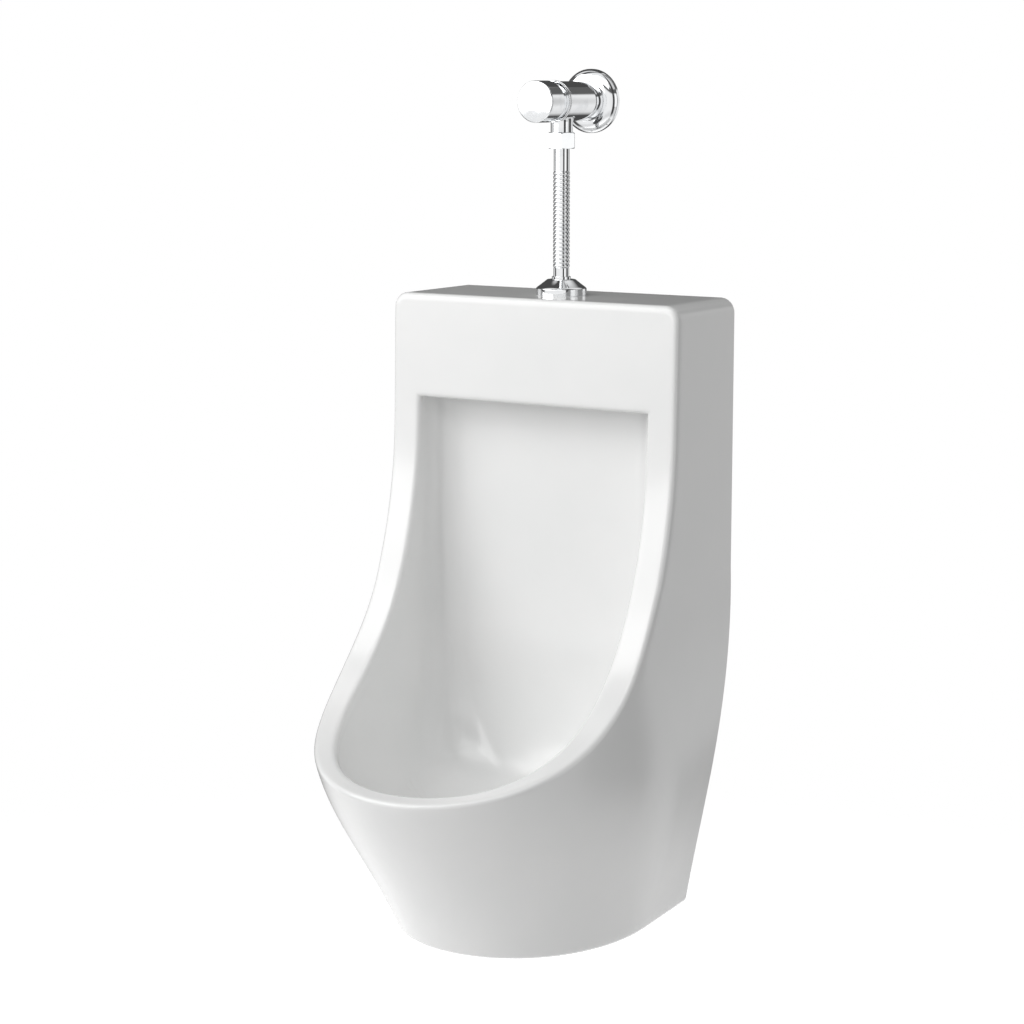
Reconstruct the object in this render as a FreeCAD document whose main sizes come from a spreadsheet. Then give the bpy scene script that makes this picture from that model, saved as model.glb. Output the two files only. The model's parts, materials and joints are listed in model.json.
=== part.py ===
"""Wall-hung urinal with a push-button flush valve, in millimetres.

Frame: X to the right, Y towards the wall (the wall's face is y = 0), Z up.
The origin is on the wall's face, on the centre line, level with the bottom edge of the bowl.
"""
import FreeCAD
import Part
import math
import os
import Sketcher

V = FreeCAD.Vector
doc = FreeCAD.newDocument("urinal")
sheet = doc.addObject("Spreadsheet::Sheet", "Dims")


class Size:
    """A length that carries its value and the sheet formula that it comes from."""

    def __init__(self, value, text):
        self.value = float(value)
        self.text = text

    def _join(self, other, sign, value):
        other = as_size(other)
        return Size(value(self.value, other.value), f"({self.text} {sign} {other.text})")

    def __add__(self, other):
        return self._join(other, "+", lambda a, b: a + b)

    def __sub__(self, other):
        return self._join(other, "-", lambda a, b: a - b)

    def __mul__(self, other):
        return self._join(other, "*", lambda a, b: a * b)

    def __truediv__(self, other):
        return self._join(other, "/", lambda a, b: a / b)

    def __neg__(self):
        return Size(-self.value, f"(0 - {self.text})")

    def __rsub__(self, other):
        return as_size(other) - self

    __radd__ = __add__
    __rmul__ = __mul__


def as_size(number):
    return number if isinstance(number, Size) else Size(number, repr(float(number)))


def dim(alias, value):
    """Writes one driving dimension in the sheet and returns it."""
    row = dim.row = getattr(dim, "row", 0) + 1
    sheet.set(f"A{row}", alias.replace("_", " "))
    sheet.set(f"B{row}", str(value))
    sheet.setAlias(f"B{row}", alias)
    return Size(value, f"Dims.{alias}")


def bind(thing, prop, number):
    """Sets a property, and ties it to the sheet when its size comes from there."""
    number = as_size(number)
    thing.setExpression(prop, number.text)


# ---------------------------------------------------------------- driving dimensions
body_height = dim("body_height", 640)          # bottom edge to top face
body_half = dim("body_half_width", 167.5)      # half the width of the upper block
top_depth = dim("top_depth", 118.6)            # wall to the front panel at the top
panel_depth = dim("panel_depth", 122)          # wall to the front panel where the rim curve starts
panel_foot = dim("panel_foot_height", 488)     # height where the rim curve starts
lip_height = dim("lip_height", 183.3)          # front lip of the bowl
lip_reach = dim("lip_reach", 386)              # wall to the front lip
rim_drop_1 = dim("rim_drop_1", 134)            # first handle of the rim curve, below the panel's foot
rim_pull_1 = dim("rim_pull_1", 14)             # and in front of it
rim_drop_2 = dim("rim_drop_2", 260)            # second handle, below the panel's foot
rim_pull_2 = dim("rim_pull_2", 64)             # and in front of it
foot_reach = dim("foot_reach", 268.5)          # wall to the front of the bottom edge
foot_half = dim("foot_half_width", 119)        # half width of the bottom edge at the wall
side_depth = dim("side_depth", 97)             # depth of the straight part of each side
shell_wall = dim("shell_wall", 12)             # thickness of the china
bowl_floor = dim("bowl_floor", 118)            # height of the bowl's floor
drain_back = dim("drain_back", 200)            # wall to the drain's axis
mouth_half = dim("mouth_half_width", 135)      # half width of the recess behind the rim
recess_back = dim("recess_back", 82)           # wall to the recess's back face
slot_height = dim("slot_height", 533)          # lower edge of the front panel
corner_radius = dim("corner_radius", 15)       # upper corners of the block
inlet_back = dim("inlet_back", 60)             # wall to the flush pipe's axis
valve_height = dim("valve_height", 835)        # height of the flush valve's axis
hook_spread = dim("hook_spread", 115)          # centre line to each hanging bracket
hook_height = dim("hook_height", 570)          # height of the brackets' bearing edge
bracket_width = dim("bracket_width", 40)
bracket_steel = dim("bracket_steel", 4)        # thickness of the bracket's steel
screw_drop_1 = dim("upper_screw_drop", 25)     # bearing edge down to the upper screw
screw_drop_2 = dim("lower_screw_drop", 50)     # bearing edge down to the lower screw
chamber_half = dim("chamber_half_width", 78)   # half width of the flush chamber
inlet_radius = dim("inlet_radius", 20)         # flush inlet hole in the top face
port_height = dim("port_height", 50)           # height of the waste outlet's axis
port_radius = dim("port_radius", 19.6)         # outside of the trap's outlet port
port_reach = dim("port_reach", 62)             # trap's axis to the end of the port
outlet_radius = dim("outlet_radius", 16)       # outside of the waste outlet pipe
wall_stub = dim("wall_stub", 35)               # length of the outlet pipe inside the wall
barrel_radius = dim("barrel_radius", 20)       # outside of the valve's body
button_radius = dim("button_radius", 20.7)
stem_radius = dim("stem_radius", 2.5)
rosette_radius = dim("rosette_radius", 32.5)
pipe_radius = dim("pipe_radius", 8)            # outside of the flush pipe
pipe_bore = dim("pipe_bore", 6.8)              # inside radius of the flush pipe
bellows_top = dim("bellows_top", 69.5)         # valve's axis down to the first rib
bellows_length = dim("bellows_length", 98)
flange_radius = dim("flange_radius", 25.8)
inlet_end = dim("inlet_end", 624)              # height of the flush pipe's lower end
bellows_ribs = 24


# ---------------------------------------------------------------- drawing helpers
def new_body(label):
    body = doc.addObject("PartDesign::Body", label)
    body.Label = label
    return body


def pin_point(sketch, geo, pos, u, v):
    """Ties one point of a sketch to its place from the sketch's origin."""
    for kind, number in (("DistanceX", u), ("DistanceY", v)):
        number = as_size(number)
        index = sketch.addConstraint(Sketcher.Constraint(kind, -1, 1, geo, pos, number.value))
        sketch.setExpression(f"Constraints[{index}]", number.text)


def add_cubic(sketch, poles):
    """A cubic curve through its first and last pole, with both handles tied to the sheet."""
    points = [V(as_size(u).value, as_size(v).value, 0) for u, v in poles]
    curve = Part.BSplineCurve()
    curve.buildFromPolesMultsKnots(points, [4, 4], [0, 1], False, 3)
    geo = sketch.addGeometry(curve, False)
    circles = []
    for point in points:
        circle = sketch.addGeometry(Part.Circle(point, V(0, 0, 1), 4), True)
        rule = ("Equal", circles[0], circle) if circles else ("Weight", circle, 1.0)
        sketch.addConstraint(Sketcher.Constraint(*rule))
        circles.append(circle)
    for i, circle in enumerate(circles):
        kind = "InternalAlignment:Sketcher::BSplineControlPoint"
        sketch.addConstraint(Sketcher.Constraint(kind, circle, 3, geo, i))
    for circle, (u, v) in zip(circles[1:3], poles[1:3]):
        pin_point(sketch, circle, 3, u, v)
    return geo


def origin_part(body, role):
    return next(f for f in body.Origin.OriginFeatures if f.Role == role)


def new_sketch(body, name, role, height=0, along=0):
    """An empty sketch on an origin plane, lifted by height and slid along its own Y axis."""
    sketch = body.newObject("Sketcher::SketchObject", name)
    sketch.AttachmentSupport = [(origin_part(body, role), "")]
    sketch.MapMode = "FlatFace"
    bind(sketch, "AttachmentOffset.Base.z", height)
    bind(sketch, "AttachmentOffset.Base.y", along)
    return sketch


def add_arc(sketch, start, through, end):
    """An arc through three points; returns it with the numbers of its first and last point."""
    first, middle, last = (V(as_size(u).value, as_size(v).value, 0) for u, v in (start, through, end))
    arc = Part.Arc(first, middle, last)
    geo = sketch.addGeometry(arc, False)
    sketch.addConstraint(Sketcher.Constraint("Radius", geo, arc.toShape().Curve.Radius))
    forward = (sketch.getPoint(geo, 1) - first).Length < (sketch.getPoint(geo, 1) - last).Length
    return (geo, 1, 2) if forward else (geo, 2, 1)


def closed_outline(body, name, role, corners, handles=None, height=0, along=0):
    """A closed sketch through the corners.

    handles[i] bends the edge after corner i: one point for an arc through it, two for a cubic.
    """
    handles = handles or {}
    sketch = new_sketch(body, name, role, height, along)
    edges = []
    for i, start in enumerate(corners):
        end = corners[(i + 1) % len(corners)]
        bend = handles.get(i, [])
        if len(bend) == 1:
            edges.append(add_arc(sketch, start, bend[0], end))
        elif bend:
            edges.append((add_cubic(sketch, [start, *bend, end]), 1, 2))
        else:
            a, b = (V(as_size(u).value, as_size(v).value, 0) for u, v in (start, end))
            edges.append((sketch.addGeometry(Part.LineSegment(a, b), False), 1, 2))
    for before, after in zip(edges, edges[1:] + edges[:1]):
        sketch.addConstraint(Sketcher.Constraint("Coincident", before[0], before[2], after[0], after[1]))
    for (geo, first, _), (u, v) in zip(edges, corners):
        pin_point(sketch, geo, first, u, v)
    return sketch


def rounded_box(body, name, role, u_range, v_range, radius, height=0):
    """A box outline whose four corners are quarter arcs."""
    (left, right), (low, high) = ([as_size(n) for n in pair] for pair in (u_range, v_range))
    radius = as_size(radius)
    sketch = new_sketch(body, name, role, height)
    lines = [
        ((left + radius, low), (right - radius, low)),
        ((right, low + radius), (right, high - radius)),
        ((right - radius, high), (left + radius, high)),
        ((left, high - radius), (left, low + radius)),
    ]
    centres = [
        (right - radius, low + radius),
        (right - radius, high - radius),
        (left + radius, high - radius),
        (left + radius, low + radius),
    ]
    edges = []
    for i, ((start, end), (u, v)) in enumerate(zip(lines, centres)):
        a, b = (V(point[0].value, point[1].value, 0) for point in (start, end))
        line = sketch.addGeometry(Part.LineSegment(a, b), False)
        pin_point(sketch, line, 1, *start)
        pin_point(sketch, line, 2, *end)
        circle = Part.Circle(V(u.value, v.value, 0), V(0, 0, 1), radius.value)
        turn = math.pi / 2
        arc = sketch.addGeometry(Part.ArcOfCircle(circle, turn * (i - 1), turn * i), False)
        index = sketch.addConstraint(Sketcher.Constraint("Radius", arc, radius.value))
        sketch.setExpression(f"Constraints[{index}]", radius.text)
        edges += [line, arc]
    for before, after in zip(edges, edges[1:] + edges[:1]):
        sketch.addConstraint(Sketcher.Constraint("Coincident", before, 2, after, 1))
    return sketch


def circles_sketch(body, name, role, circles, height=0, along=0):
    """A sketch of whole circles, each (u, v, radius)."""
    sketch = new_sketch(body, name, role, height, along)
    for u, v, radius in circles:
        centre = V(as_size(u).value, as_size(v).value, 0)
        geo = sketch.addGeometry(Part.Circle(centre, V(0, 0, 1), as_size(radius).value), False)
        index = sketch.addConstraint(Sketcher.Constraint("Radius", geo, as_size(radius).value))
        sketch.setExpression(f"Constraints[{index}]", as_size(radius).text)
        pin_point(sketch, geo, 3, u, v)
    return sketch


def feature(body, kind, name, profile, **props):
    """A sketch-based feature of a body; numbers among the properties are tied to the sheet."""
    made = body.newObject(f"PartDesign::{kind}", name)
    made.Profile = profile
    for prop, value in props.items():
        if isinstance(value, (Size, float)):
            bind(made, prop, value)
        else:
            setattr(made, prop, value)
    profile.Visibility = False
    return made


def loft(body, kind, name, sections):
    made = body.newObject(f"PartDesign::{kind}", name)
    made.Profile = sections[0]
    made.Sections = sections[1:]
    made.Ruled = False
    return made


def turned(body, name, corners, handles=None, kind="Revolution"):
    """A turned shape about the body's Z axis: corners are (radius, height)."""
    sketch = closed_outline(body, name + "_profile", "XZ_Plane", corners, handles)
    return feature(body, kind, name, sketch, ReferenceAxis=(sketch, ["V_Axis"]), Angle=360.0)


def round_edges(body, name, radius, wanted):
    """Rounds every edge of the body whose middle and ends pass the test."""
    doc.recompute()
    names = []
    for i, edge in enumerate(body.Shape.Edges):
        first, last = edge.FirstParameter, edge.LastParameter
        if all(wanted(edge.valueAt(first + (last - first) * share)) for share in (0.02, 0.5, 0.98)):
            names.append(f"Edge{i + 1}")
    base = body.Tip
    fillet = body.newObject("PartDesign::Fillet", name)
    fillet.Base = (base, names)
    bind(fillet, "Radius", radius)
    doc.recompute()
    print(name, len(names), "edges")
    return fillet


def place(body, x=0, y=0, z=0, turn=None):
    if turn:
        body.Placement = FreeCAD.Placement(V(0, 0, 0), FreeCAD.Rotation(*turn))
    for axis, number in zip("xyz", (x, y, z)):
        bind(body, f"Placement.Base.{axis}", number)


# ---------------------------------------------------------------- china body
def shell_section(body, name, height, wall_half, side_half, reach, straight=None, inset=0, back=8):
    """The plan outline at one height: a straight back, nearly straight sides and a rounded nose."""
    straight = as_size(straight or side_depth)
    wall_half, side_half, reach = wall_half - inset, side_half - inset, reach - inset
    nose = reach - straight
    flare = (side_half - wall_half) / straight
    start = wall_half - flare * back
    side = side_half + flare * nose * 0.6
    corners = [
        (-start, as_size(back)),
        (start, as_size(back)),
        (side_half, -straight),
        (as_size(0), -reach),
        (-side_half, -straight),
    ]
    handles = {
        2: [(side, -(straight + nose * 0.6)), (side_half * 0.6, -reach)],
        3: [(-(side_half * 0.6), -reach), (-side, -(straight + nose * 0.6))],
    }
    return closed_outline(body, name, "XY_Plane", corners, handles, height)


def bowl_section(body, name, height, back, half, corner, widest, reach, grow=0):
    """The plan outline of the bowl at one height, a rounded box at the back and a nose in front."""
    back, half, reach = as_size(back) - grow, as_size(half) + grow, as_size(reach) + grow
    widest, corner = as_size(widest), as_size(corner)
    nose = reach - widest
    flat = half - corner
    corners = [
        (-flat, -back),
        (flat, -back),
        (half, -(back + corner)),
        (half, -widest),
        (as_size(0), -reach),
        (-half, -widest),
        (-half, -(back + corner)),
    ]
    pull = 0.56
    handles = {
        1: [(flat + corner * pull, -back), (half, -(back + corner * (1 - pull)))],
        3: [(half, -(widest + nose * 0.6)), (half * 0.6, -reach)],
        4: [(-(half * 0.6), -reach), (-half, -(widest + nose * 0.6))],
        6: [(-half, -(back + corner * (1 - pull))), (-(flat + corner * pull), -back)],
    }
    return closed_outline(body, name, "XY_Plane", corners, handles, height)


def box_cut(body, name, x_range, z_range, depth):
    """A straight-sided cut from the wall's face into the china."""
    (x0, x1), (z0, z1) = x_range, z_range
    outline = closed_outline(body, name + "_outline", "XZ_Plane", [(x0, z0), (x1, z0), (x1, z1), (x0, z1)], height=as_size(-5))
    return feature(body, "Pocket", name, outline, Length=as_size(5) + depth, Reversed=True)


def make_china():
    body = new_body("ceramic_body")
    zero = as_size(0)
    step = lip_height / 2
    outer = [
        shell_section(body, "shell_0", zero, foot_half, foot_half + 8, foot_reach),
        shell_section(body, "shell_1", step, foot_half + 18, foot_half + 32, (foot_reach + lip_reach) / 2),
        shell_section(body, "shell_2", lip_height, body_half - 13, body_half + 0.5, lip_reach, straight=110),
        shell_section(body, "shell_3", step * 3, body_half - 2, body_half + 0.5, lip_reach + 20, straight=165),
        shell_section(body, "shell_4", step * 4, body_half, body_half, lip_reach + 24, straight=165),
    ]
    loft(body, "AdditiveLoft", "shell", outer)
    block = closed_outline(body, "block_outline", "XY_Plane", [
        (-body_half, as_size(8)), (body_half, as_size(8)), (body_half, as_size(-165)), (-body_half, as_size(-165)),
    ], height=step * 4)
    feature(body, "Pad", "block", block, Length=body_height - step * 4)

    w = shell_wall
    hollow = [
        shell_section(body, "hollow_0", as_size(-1), foot_half, foot_half + 8, foot_reach, inset=w, back=20),
        shell_section(body, "hollow_1", lip_height - 21, body_half - 16, body_half - 1, lip_reach - 14, inset=w, back=20),
    ]
    made = loft(body, "SubtractiveLoft", "trap_space", hollow)
    made.Ruled = True

    # the space behind the bowl, open to the wall
    ledge = lip_height - 30
    rear = closed_outline(body, "rear_outline", "XZ_Plane", [
        (-(foot_half + 20), ledge),
        (foot_half + 20, ledge),
        (body_half - 14, ledge + 100),
        (body_half - 14, slot_height - 45),
        (-(body_half - 14), slot_height - 45),
        (-(body_half - 14), ledge + 100),
    ], height=as_size(-5))
    feature(body, "Pocket", "rear_space", rear, Length=as_size(5 + 66), Reversed=True)

    f = bowl_floor
    rise = (step * 3 - f) / 3
    skin = shell_wall - 1
    # each level: height, back, half width, corner, widest, reach
    under = [
        (f - skin, 150, 50, 45, 200, 250),
        (f + 2, 116, 88, 60, 200, 300),
        (lip_height - 21, 84, 127, 60, 195, 356),
    ]
    made = loft(body, "AdditiveLoft", "bowl_wall", [
        bowl_section(body, f"bowl_wall_{i}", *level, grow=skin) for i, level in enumerate(under)
    ])
    made.Ruled = True
    levels = [
        (f, 140, 60, 55, 200, 262),
        (f + rise, 84, 127, 60, 195, 357),
        (f + rise * 2, recess_back - 3, 134, 45, 205, 378),
        (f + rise * 3, recess_back, mouth_half, 35, 216, 394),
    ]
    loft(body, "SubtractiveLoft", "bowl", [
        bowl_section(body, f"bowl_{i}", *level) for i, level in enumerate(levels)
    ])
    flat, corner = mouth_half - 35, recess_back + 35
    curl = as_size(35 * (1 - 0.56))
    recess = closed_outline(body, "recess_outline", "XY_Plane", [
        (-flat, -recess_back), (flat, -recess_back), (mouth_half, -corner), (mouth_half, -480), (-mouth_half, -480),
        (-mouth_half, -corner),
    ], {
        1: [(mouth_half - curl, -recess_back), (mouth_half, -(recess_back + curl))],
        5: [(-mouth_half, -(recess_back + curl)), (-(mouth_half - curl), -recess_back)],
    }, slot_height)
    feature(body, "Pocket", "recess", recess, Length=slot_height - step * 3)

    # everything in front of the rim's side curve goes
    front = closed_outline(body, "rim_curve", "YZ_Plane", [
        (-(top_depth - 0.7), body_height + 30),
        (-panel_depth, panel_foot),
        (-lip_reach, lip_height),
        (-(lip_reach + 120), lip_height - 27),
        (-(lip_reach + 120), body_height + 30),
    ], {1: [(-(panel_depth + rim_pull_1), panel_foot - rim_drop_1), (-(panel_depth + rim_pull_2), panel_foot - rim_drop_2)]})
    feature(body, "Pocket", "front_cut", front, Length=as_size(500), Midplane=True)
    back = closed_outline(body, "wall_trim_outline", "XZ_Plane", [
        (as_size(-200), as_size(-10)), (as_size(200), as_size(-10)),
        (as_size(200), body_height + 10), (as_size(-200), body_height + 10),
    ])
    feature(body, "Pocket", "wall_trim", back, Length=as_size(30), Reversed=False)

    def top_corner(point):
        return abs(abs(point.x) - body_half.value) < 0.1 and abs(point.z - body_height.value) < 0.1

    round_edges(body, "corner_rounding", corner_radius, top_corner)

    # the flush chamber over the recess, its row of outlets and the inlet on top
    chamber = closed_outline(body, "chamber_outline", "XY_Plane", [
        (-chamber_half, -22), (chamber_half, -22), (chamber_half, -(top_depth - w)), (-chamber_half, -(top_depth - w)),
    ], height=slot_height + w)
    made = feature(body, "Pocket", "flush_chamber", chamber, Length=body_height - slot_height - w * 2, Reversed=True)
    outlets = circles_sketch(body, "outlet_row", "XY_Plane", [
        (as_size((i - 3) * 22), as_size(-96), as_size(3.5)) for i in range(7)
    ], height=slot_height + w + 1)
    feature(body, "Pocket", "flush_outlets", outlets, Length=w + 4)
    inlet = circles_sketch(body, "inlet_hole", "XY_Plane", [(as_size(0), -inlet_back, inlet_radius)], height=body_height)
    feature(body, "Pocket", "flush_inlet", inlet, Length=w + 4)
    drain = circles_sketch(body, "drain_recess_circle", "XY_Plane", [(as_size(0), -drain_back, as_size(37))], height=f)
    feature(body, "Pocket", "drain_recess", drain, Length=as_size(3))
    drain = circles_sketch(body, "drain_hole_circle", "XY_Plane", [(as_size(0), -drain_back, as_size(22))], height=f)
    feature(body, "Pocket", "drain_hole", drain, Length=as_size(20))

    # a hanging pocket behind each shoulder, with a tongue that the bracket carries
    rise, tongue, deep = hook_height, as_size(19.5), as_size(34)
    for side, name in ((-1, "left"), (1, "right")):
        hook = closed_outline(body, f"hook_outline_{name}", "YZ_Plane", [
            (as_size(5), rise - 62),
            (as_size(5), rise),
            (-tongue, rise),
            (-tongue, rise + 20),
            (-deep, rise + 20),
            (-deep, rise - 62),
        ], height=hook_spread * side - 30)
        feature(body, "Pocket", f"hook_pocket_{name}", hook, Length=as_size(60), Reversed=True)
    doc.recompute()
    return body


# ---------------------------------------------------------------- hanging brackets
def make_bracket(side, label):
    """A bent steel hook: plate on the wall, arm through the pocket and a turned-up lip."""
    body = new_body(label)
    arm, lip = as_size(24), as_size(14)
    outline = closed_outline(body, "hook_profile", "YZ_Plane", [
        (as_size(0), as_size(-60)),
        (as_size(0), as_size(0)),
        (-(arm - bracket_steel), as_size(0)),
        (-(arm - bracket_steel), lip),
        (-arm, lip),
        (-arm, -bracket_steel),
        (-bracket_steel, -bracket_steel),
        (-bracket_steel, as_size(-60)),
    ])
    feature(body, "Pad", "hook", outline, Length=bracket_width, Midplane=True)
    holes = circles_sketch(body, "screw_holes", "XZ_Plane", [
        (as_size(0), -(as_size(screw_drop_1)), as_size(3.3)),
        (as_size(0), -(as_size(screw_drop_2)), as_size(3.3)),
    ], height=as_size(-1))
    feature(body, "Pocket", "screw_clearance", holes, Length=bracket_steel + 2, Reversed=True)
    place(body, hook_spread * side, 0, hook_height)
    return body


def repeated(label, profile, places, turn, bore=None):
    """The same turned piece in several places, kept as one sub-part."""
    source = new_body(label + "_one")
    turned(source, "turn", profile)
    doc.recompute()
    parts = []
    for i, (x, y, z) in enumerate(places):
        copy = doc.addObject("Part::Feature", f"{label}_{i}")
        copy.Shape = source.Shape.copy()
        copy.Placement = FreeCAD.Placement(V(x, y, z), FreeCAD.Rotation(*turn))
        parts.append(copy)
    group = doc.addObject("Part::Compound", label)
    group.Label = label
    group.Links = parts
    return group


def screw_places():
    return [
        (hook_spread.value * side, 0, hook_height.value - drop.value)
        for side in (-1, 1) for drop in (screw_drop_1, screw_drop_2)
    ]


def make_fixings():
    """Four screws, washers and wall plugs; their own axis runs out of the wall."""
    turn = (V(1, 0, 0), 90)
    face = bracket_steel.value
    washer = face + 1.5
    screws = repeated("bracket_screws", [
        (0, -50), (1.2, -50), (3, -44), (3, washer), (6, washer), (6, washer + 2), (4.5, washer + 4), (0, washer + 4),
    ], screw_places(), turn)
    washers = repeated("bracket_washers", [
        (3.2, face), (8, face), (8, washer), (3.2, washer),
    ], screw_places(), turn)
    plugs = repeated("wall_plugs", [
        (3, -50), (3.4, -50), (4, -46), (4, 0), (3, 0),
    ], screw_places(), turn)
    return [screws, washers, plugs]


# ---------------------------------------------------------------- drain and trap
def hexagon(body, name, flats, height, along=0):
    corner = as_size(flats) / math.sqrt(3)
    corners = [
        (corner * round(math.cos(math.radians(60 * i)), 6), corner * round(math.sin(math.radians(60 * i)), 6))
        for i in range(6)
    ]
    return closed_outline(body, name, "XY_Plane", corners, height=height)


def hex_nut(label, flats, low, high, bore, lip=None, lip_below=False):
    """A chamfered hexagon nut about the Z axis; lip is (radius, depth) of the flange at one end."""
    body = new_body(label)
    low, high, bore, flats = (as_size(n) for n in (low, high, bore, flats))
    feature(body, "Pad", "hexagon", hexagon(body, "hexagon_outline", flats, low), Length=high - low)
    inner = [(0, low - 1), (bore, low - 1), (bore, high + 1), (0, high + 1)]
    if lip:
        radius, depth = lip
        if lip_below:
            inner[1:2] = [(radius, low - 1), (radius, low + depth), (bore, low + depth)]
        else:
            inner[2:3] = [(bore, high - depth), (radius, high - depth), (radius, high + 1)]
    turned(body, "bore", inner, kind="Groove")
    across = flats / 2
    reach = flats / math.sqrt(3) + 1
    drop = (reach - across) * math.tan(math.radians(30))
    for name, end, out in (("low_chamfer", low, -1), ("high_chamfer", high, 1)):
        turned(body, name, [
            (across, end), (reach, end - drop * out), (reach, end + out), (across, end + out),
        ], kind="Groove")
    return body


def trap_place(body):
    place(body, 0, -drain_back, 0)
    return body


def ring_piece(label, low, high, inner, outer):
    body = new_body(label)
    low, high, inner, outer = (as_size(n) for n in (low, high, inner, outer))
    turned(body, "ring", [(inner, low), (outer, low), (outer, high), (inner, high)])
    return body


def around(body, name, sketch, count, length):
    """Cuts the sketch through the piece, count times round the Z axis."""
    cut = feature(body, "Pocket", name, sketch, Length=as_size(length), Midplane=True)
    doc.recompute()
    ring = body.newObject("PartDesign::PolarPattern", name + "_ring")
    ring.Originals = [cut]
    ring.Axis = (origin_part(body, "Z_Axis"), [""])
    ring.Angle = 360
    ring.Occurrences = count
    body.Tip = ring
    doc.recompute()


def make_strainer():
    """A domed grid that drops into the waste fitting."""
    body = new_body("drain_strainer")
    seat = bowl_floor + 1
    turned(body, "dome", [
        (0, seat), (14.2, seat), (14.2, seat - 9), (15.7, seat - 9), (15.7, seat), (24, seat), (24, seat + 0.8),
        (16, seat + 3.4), (0, seat + 4),
    ])
    for name, radius, count in (("outer_grid", 11.2, 10), ("inner_grid", 5.2, 5)):
        hole = circles_sketch(body, name + "_hole", "XY_Plane", [(radius, 0, 2)], height=seat)
        around(body, name, hole, count, 30)
    return trap_place(body)


def make_waste():
    """Everything from the bowl's drain hole to the bottle trap."""
    f = bowl_floor
    pieces = [make_strainer()]
    fitting = new_body("waste_fitting")
    turned(fitting, "fitting", [
        (17, 74), (20, 74), (20, f - 1.5), (35, f - 1.5), (35, f + 0.6), (34, f + 1), (20, f + 1), (17, f - 2),
    ])
    pieces.append(trap_place(fitting))
    pieces.append(trap_place(ring_piece("waste_upper_seal", f - 3, f - 1.5, 20.3, 34)))
    pieces.append(trap_place(ring_piece("waste_lower_gasket", f - 14, f - 11, 20.3, 33)))
    pieces.append(trap_place(hex_nut("waste_lock_nut", 56, f - 23, f - 14, 20.3)))
    pieces.append(trap_place(hex_nut("trap_inlet_nut", 58, 76, 93, 24, lip=(20.4, 4))))
    pieces.append(trap_place(ring_piece("trap_inlet_washer", 88.2, 89, 20.3, 23.8)))

    bottle = new_body("trap_body")
    turned(bottle, "bottle", [
        (37, 12), (40, 12), (40, 60), (34, 70), (23.7, 70), (23.7, 88), (20.6, 88), (20.6, 72), (17.3, 72), (17.3, 67),
        (33, 67), (37, 58),
    ])
    port = circles_sketch(bottle, "port_circle", "XZ_Plane", [(0, port_height, port_radius)], height=-port_reach)
    feature(bottle, "Pad", "port", port, Length=port_reach - 34)
    socket = circles_sketch(
        bottle, "socket_circle", "XZ_Plane", [(0, port_height, outlet_radius + 0.5)], height=-(port_reach + 1))
    feature(bottle, "Pocket", "socket", socket, Length=port_reach - 32, Reversed=True)
    pieces.append(trap_place(bottle))

    dip = new_body("trap_dip_tube")
    turned(dip, "tube", [(15, 11), (17, 11), (17, 72), (20.4, 72), (20.4, 73.8), (15, 73.8)])
    pieces.append(trap_place(dip))
    cup = new_body("trap_cup")
    turned(cup, "cup", [
        (0, 4), (37, 4), (44, 9), (44, 26), (40.3, 26), (40.3, 9), (36.5, 9), (36.5, 7), (0, 7),
    ])
    pieces.append(trap_place(cup))
    pieces.append(trap_place(ring_piece("trap_cup_seal", 9, 12, 37, 40)))

    # the outlet runs to the wall; these pieces are drawn upright and laid over
    wallward = (V(1, 0, 0), -90)
    mouth = port_reach - drain_back
    nut = hex_nut("trap_outlet_nut", 48, 0, 19, port_radius + 0.4, lip=(outlet_radius + 0.4, 4))
    place(nut, 0, mouth - 13, port_height, wallward)
    washer = ring_piece("trap_outlet_washer", 0.2, 2, outlet_radius + 0.3, port_radius)
    place(washer, 0, mouth, port_height, wallward)
    pipe = new_body("outlet_pipe")
    run = drain_back - port_reach + 20 + wall_stub
    spigot = outlet_radius - 0.25
    turned(pipe, "pipe", [
        (outlet_radius - 1.6, 0), (outlet_radius, 0), (outlet_radius, run - wall_stub), (spigot, run - wall_stub),
        (spigot, run), (outlet_radius - 1.6, run),
    ])
    place(pipe, 0, mouth - 20, port_height, wallward)
    return pieces + [nut, washer, pipe]


# ---------------------------------------------------------------- flush valve
def valve_place(body):
    """Valve pieces are drawn with their axis up, measured from the wall, and laid square to it."""
    place(body, 0, 0, valve_height, (V(1, 0, 0), 90))
    return body


def pipe_place(body):
    place(body, 0, -inlet_back, valve_height)
    return body


def make_valve_body():
    body = new_body("valve_body")
    turned(body, "barrel", [
        (7.5, -16), (9.8, -16), (10.48, -14.8), (10.48, 0), (13, 0), (13, 8), (barrel_radius, 8), (barrel_radius, 73),
        (barrel_radius + 1, 74), (barrel_radius + 1, 76), (16.2, 76), (16.2, 42), (14, 42), (14, 38),
        (12.5, 38), (12.5, 20), (7.5, 20),
    ])
    # the outlet neck, with the thread that the union nut takes
    for name, radius, start, length in (("neck", 11.2, 16.4, 14.6), ("neck_thread", 10.2, 31, 10)):
        circle = circles_sketch(body, name + "_circle", "XZ_Plane", [(0, inlet_back, radius)], height=start)
        feature(body, "Pad", name, circle, Length=as_size(length))
    bore = circles_sketch(body, "neck_bore_circle", "XZ_Plane", [(0, inlet_back, 7)], height=42)
    feature(body, "Pocket", "neck_bore", bore, Length=as_size(31))
    return valve_place(body)


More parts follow.
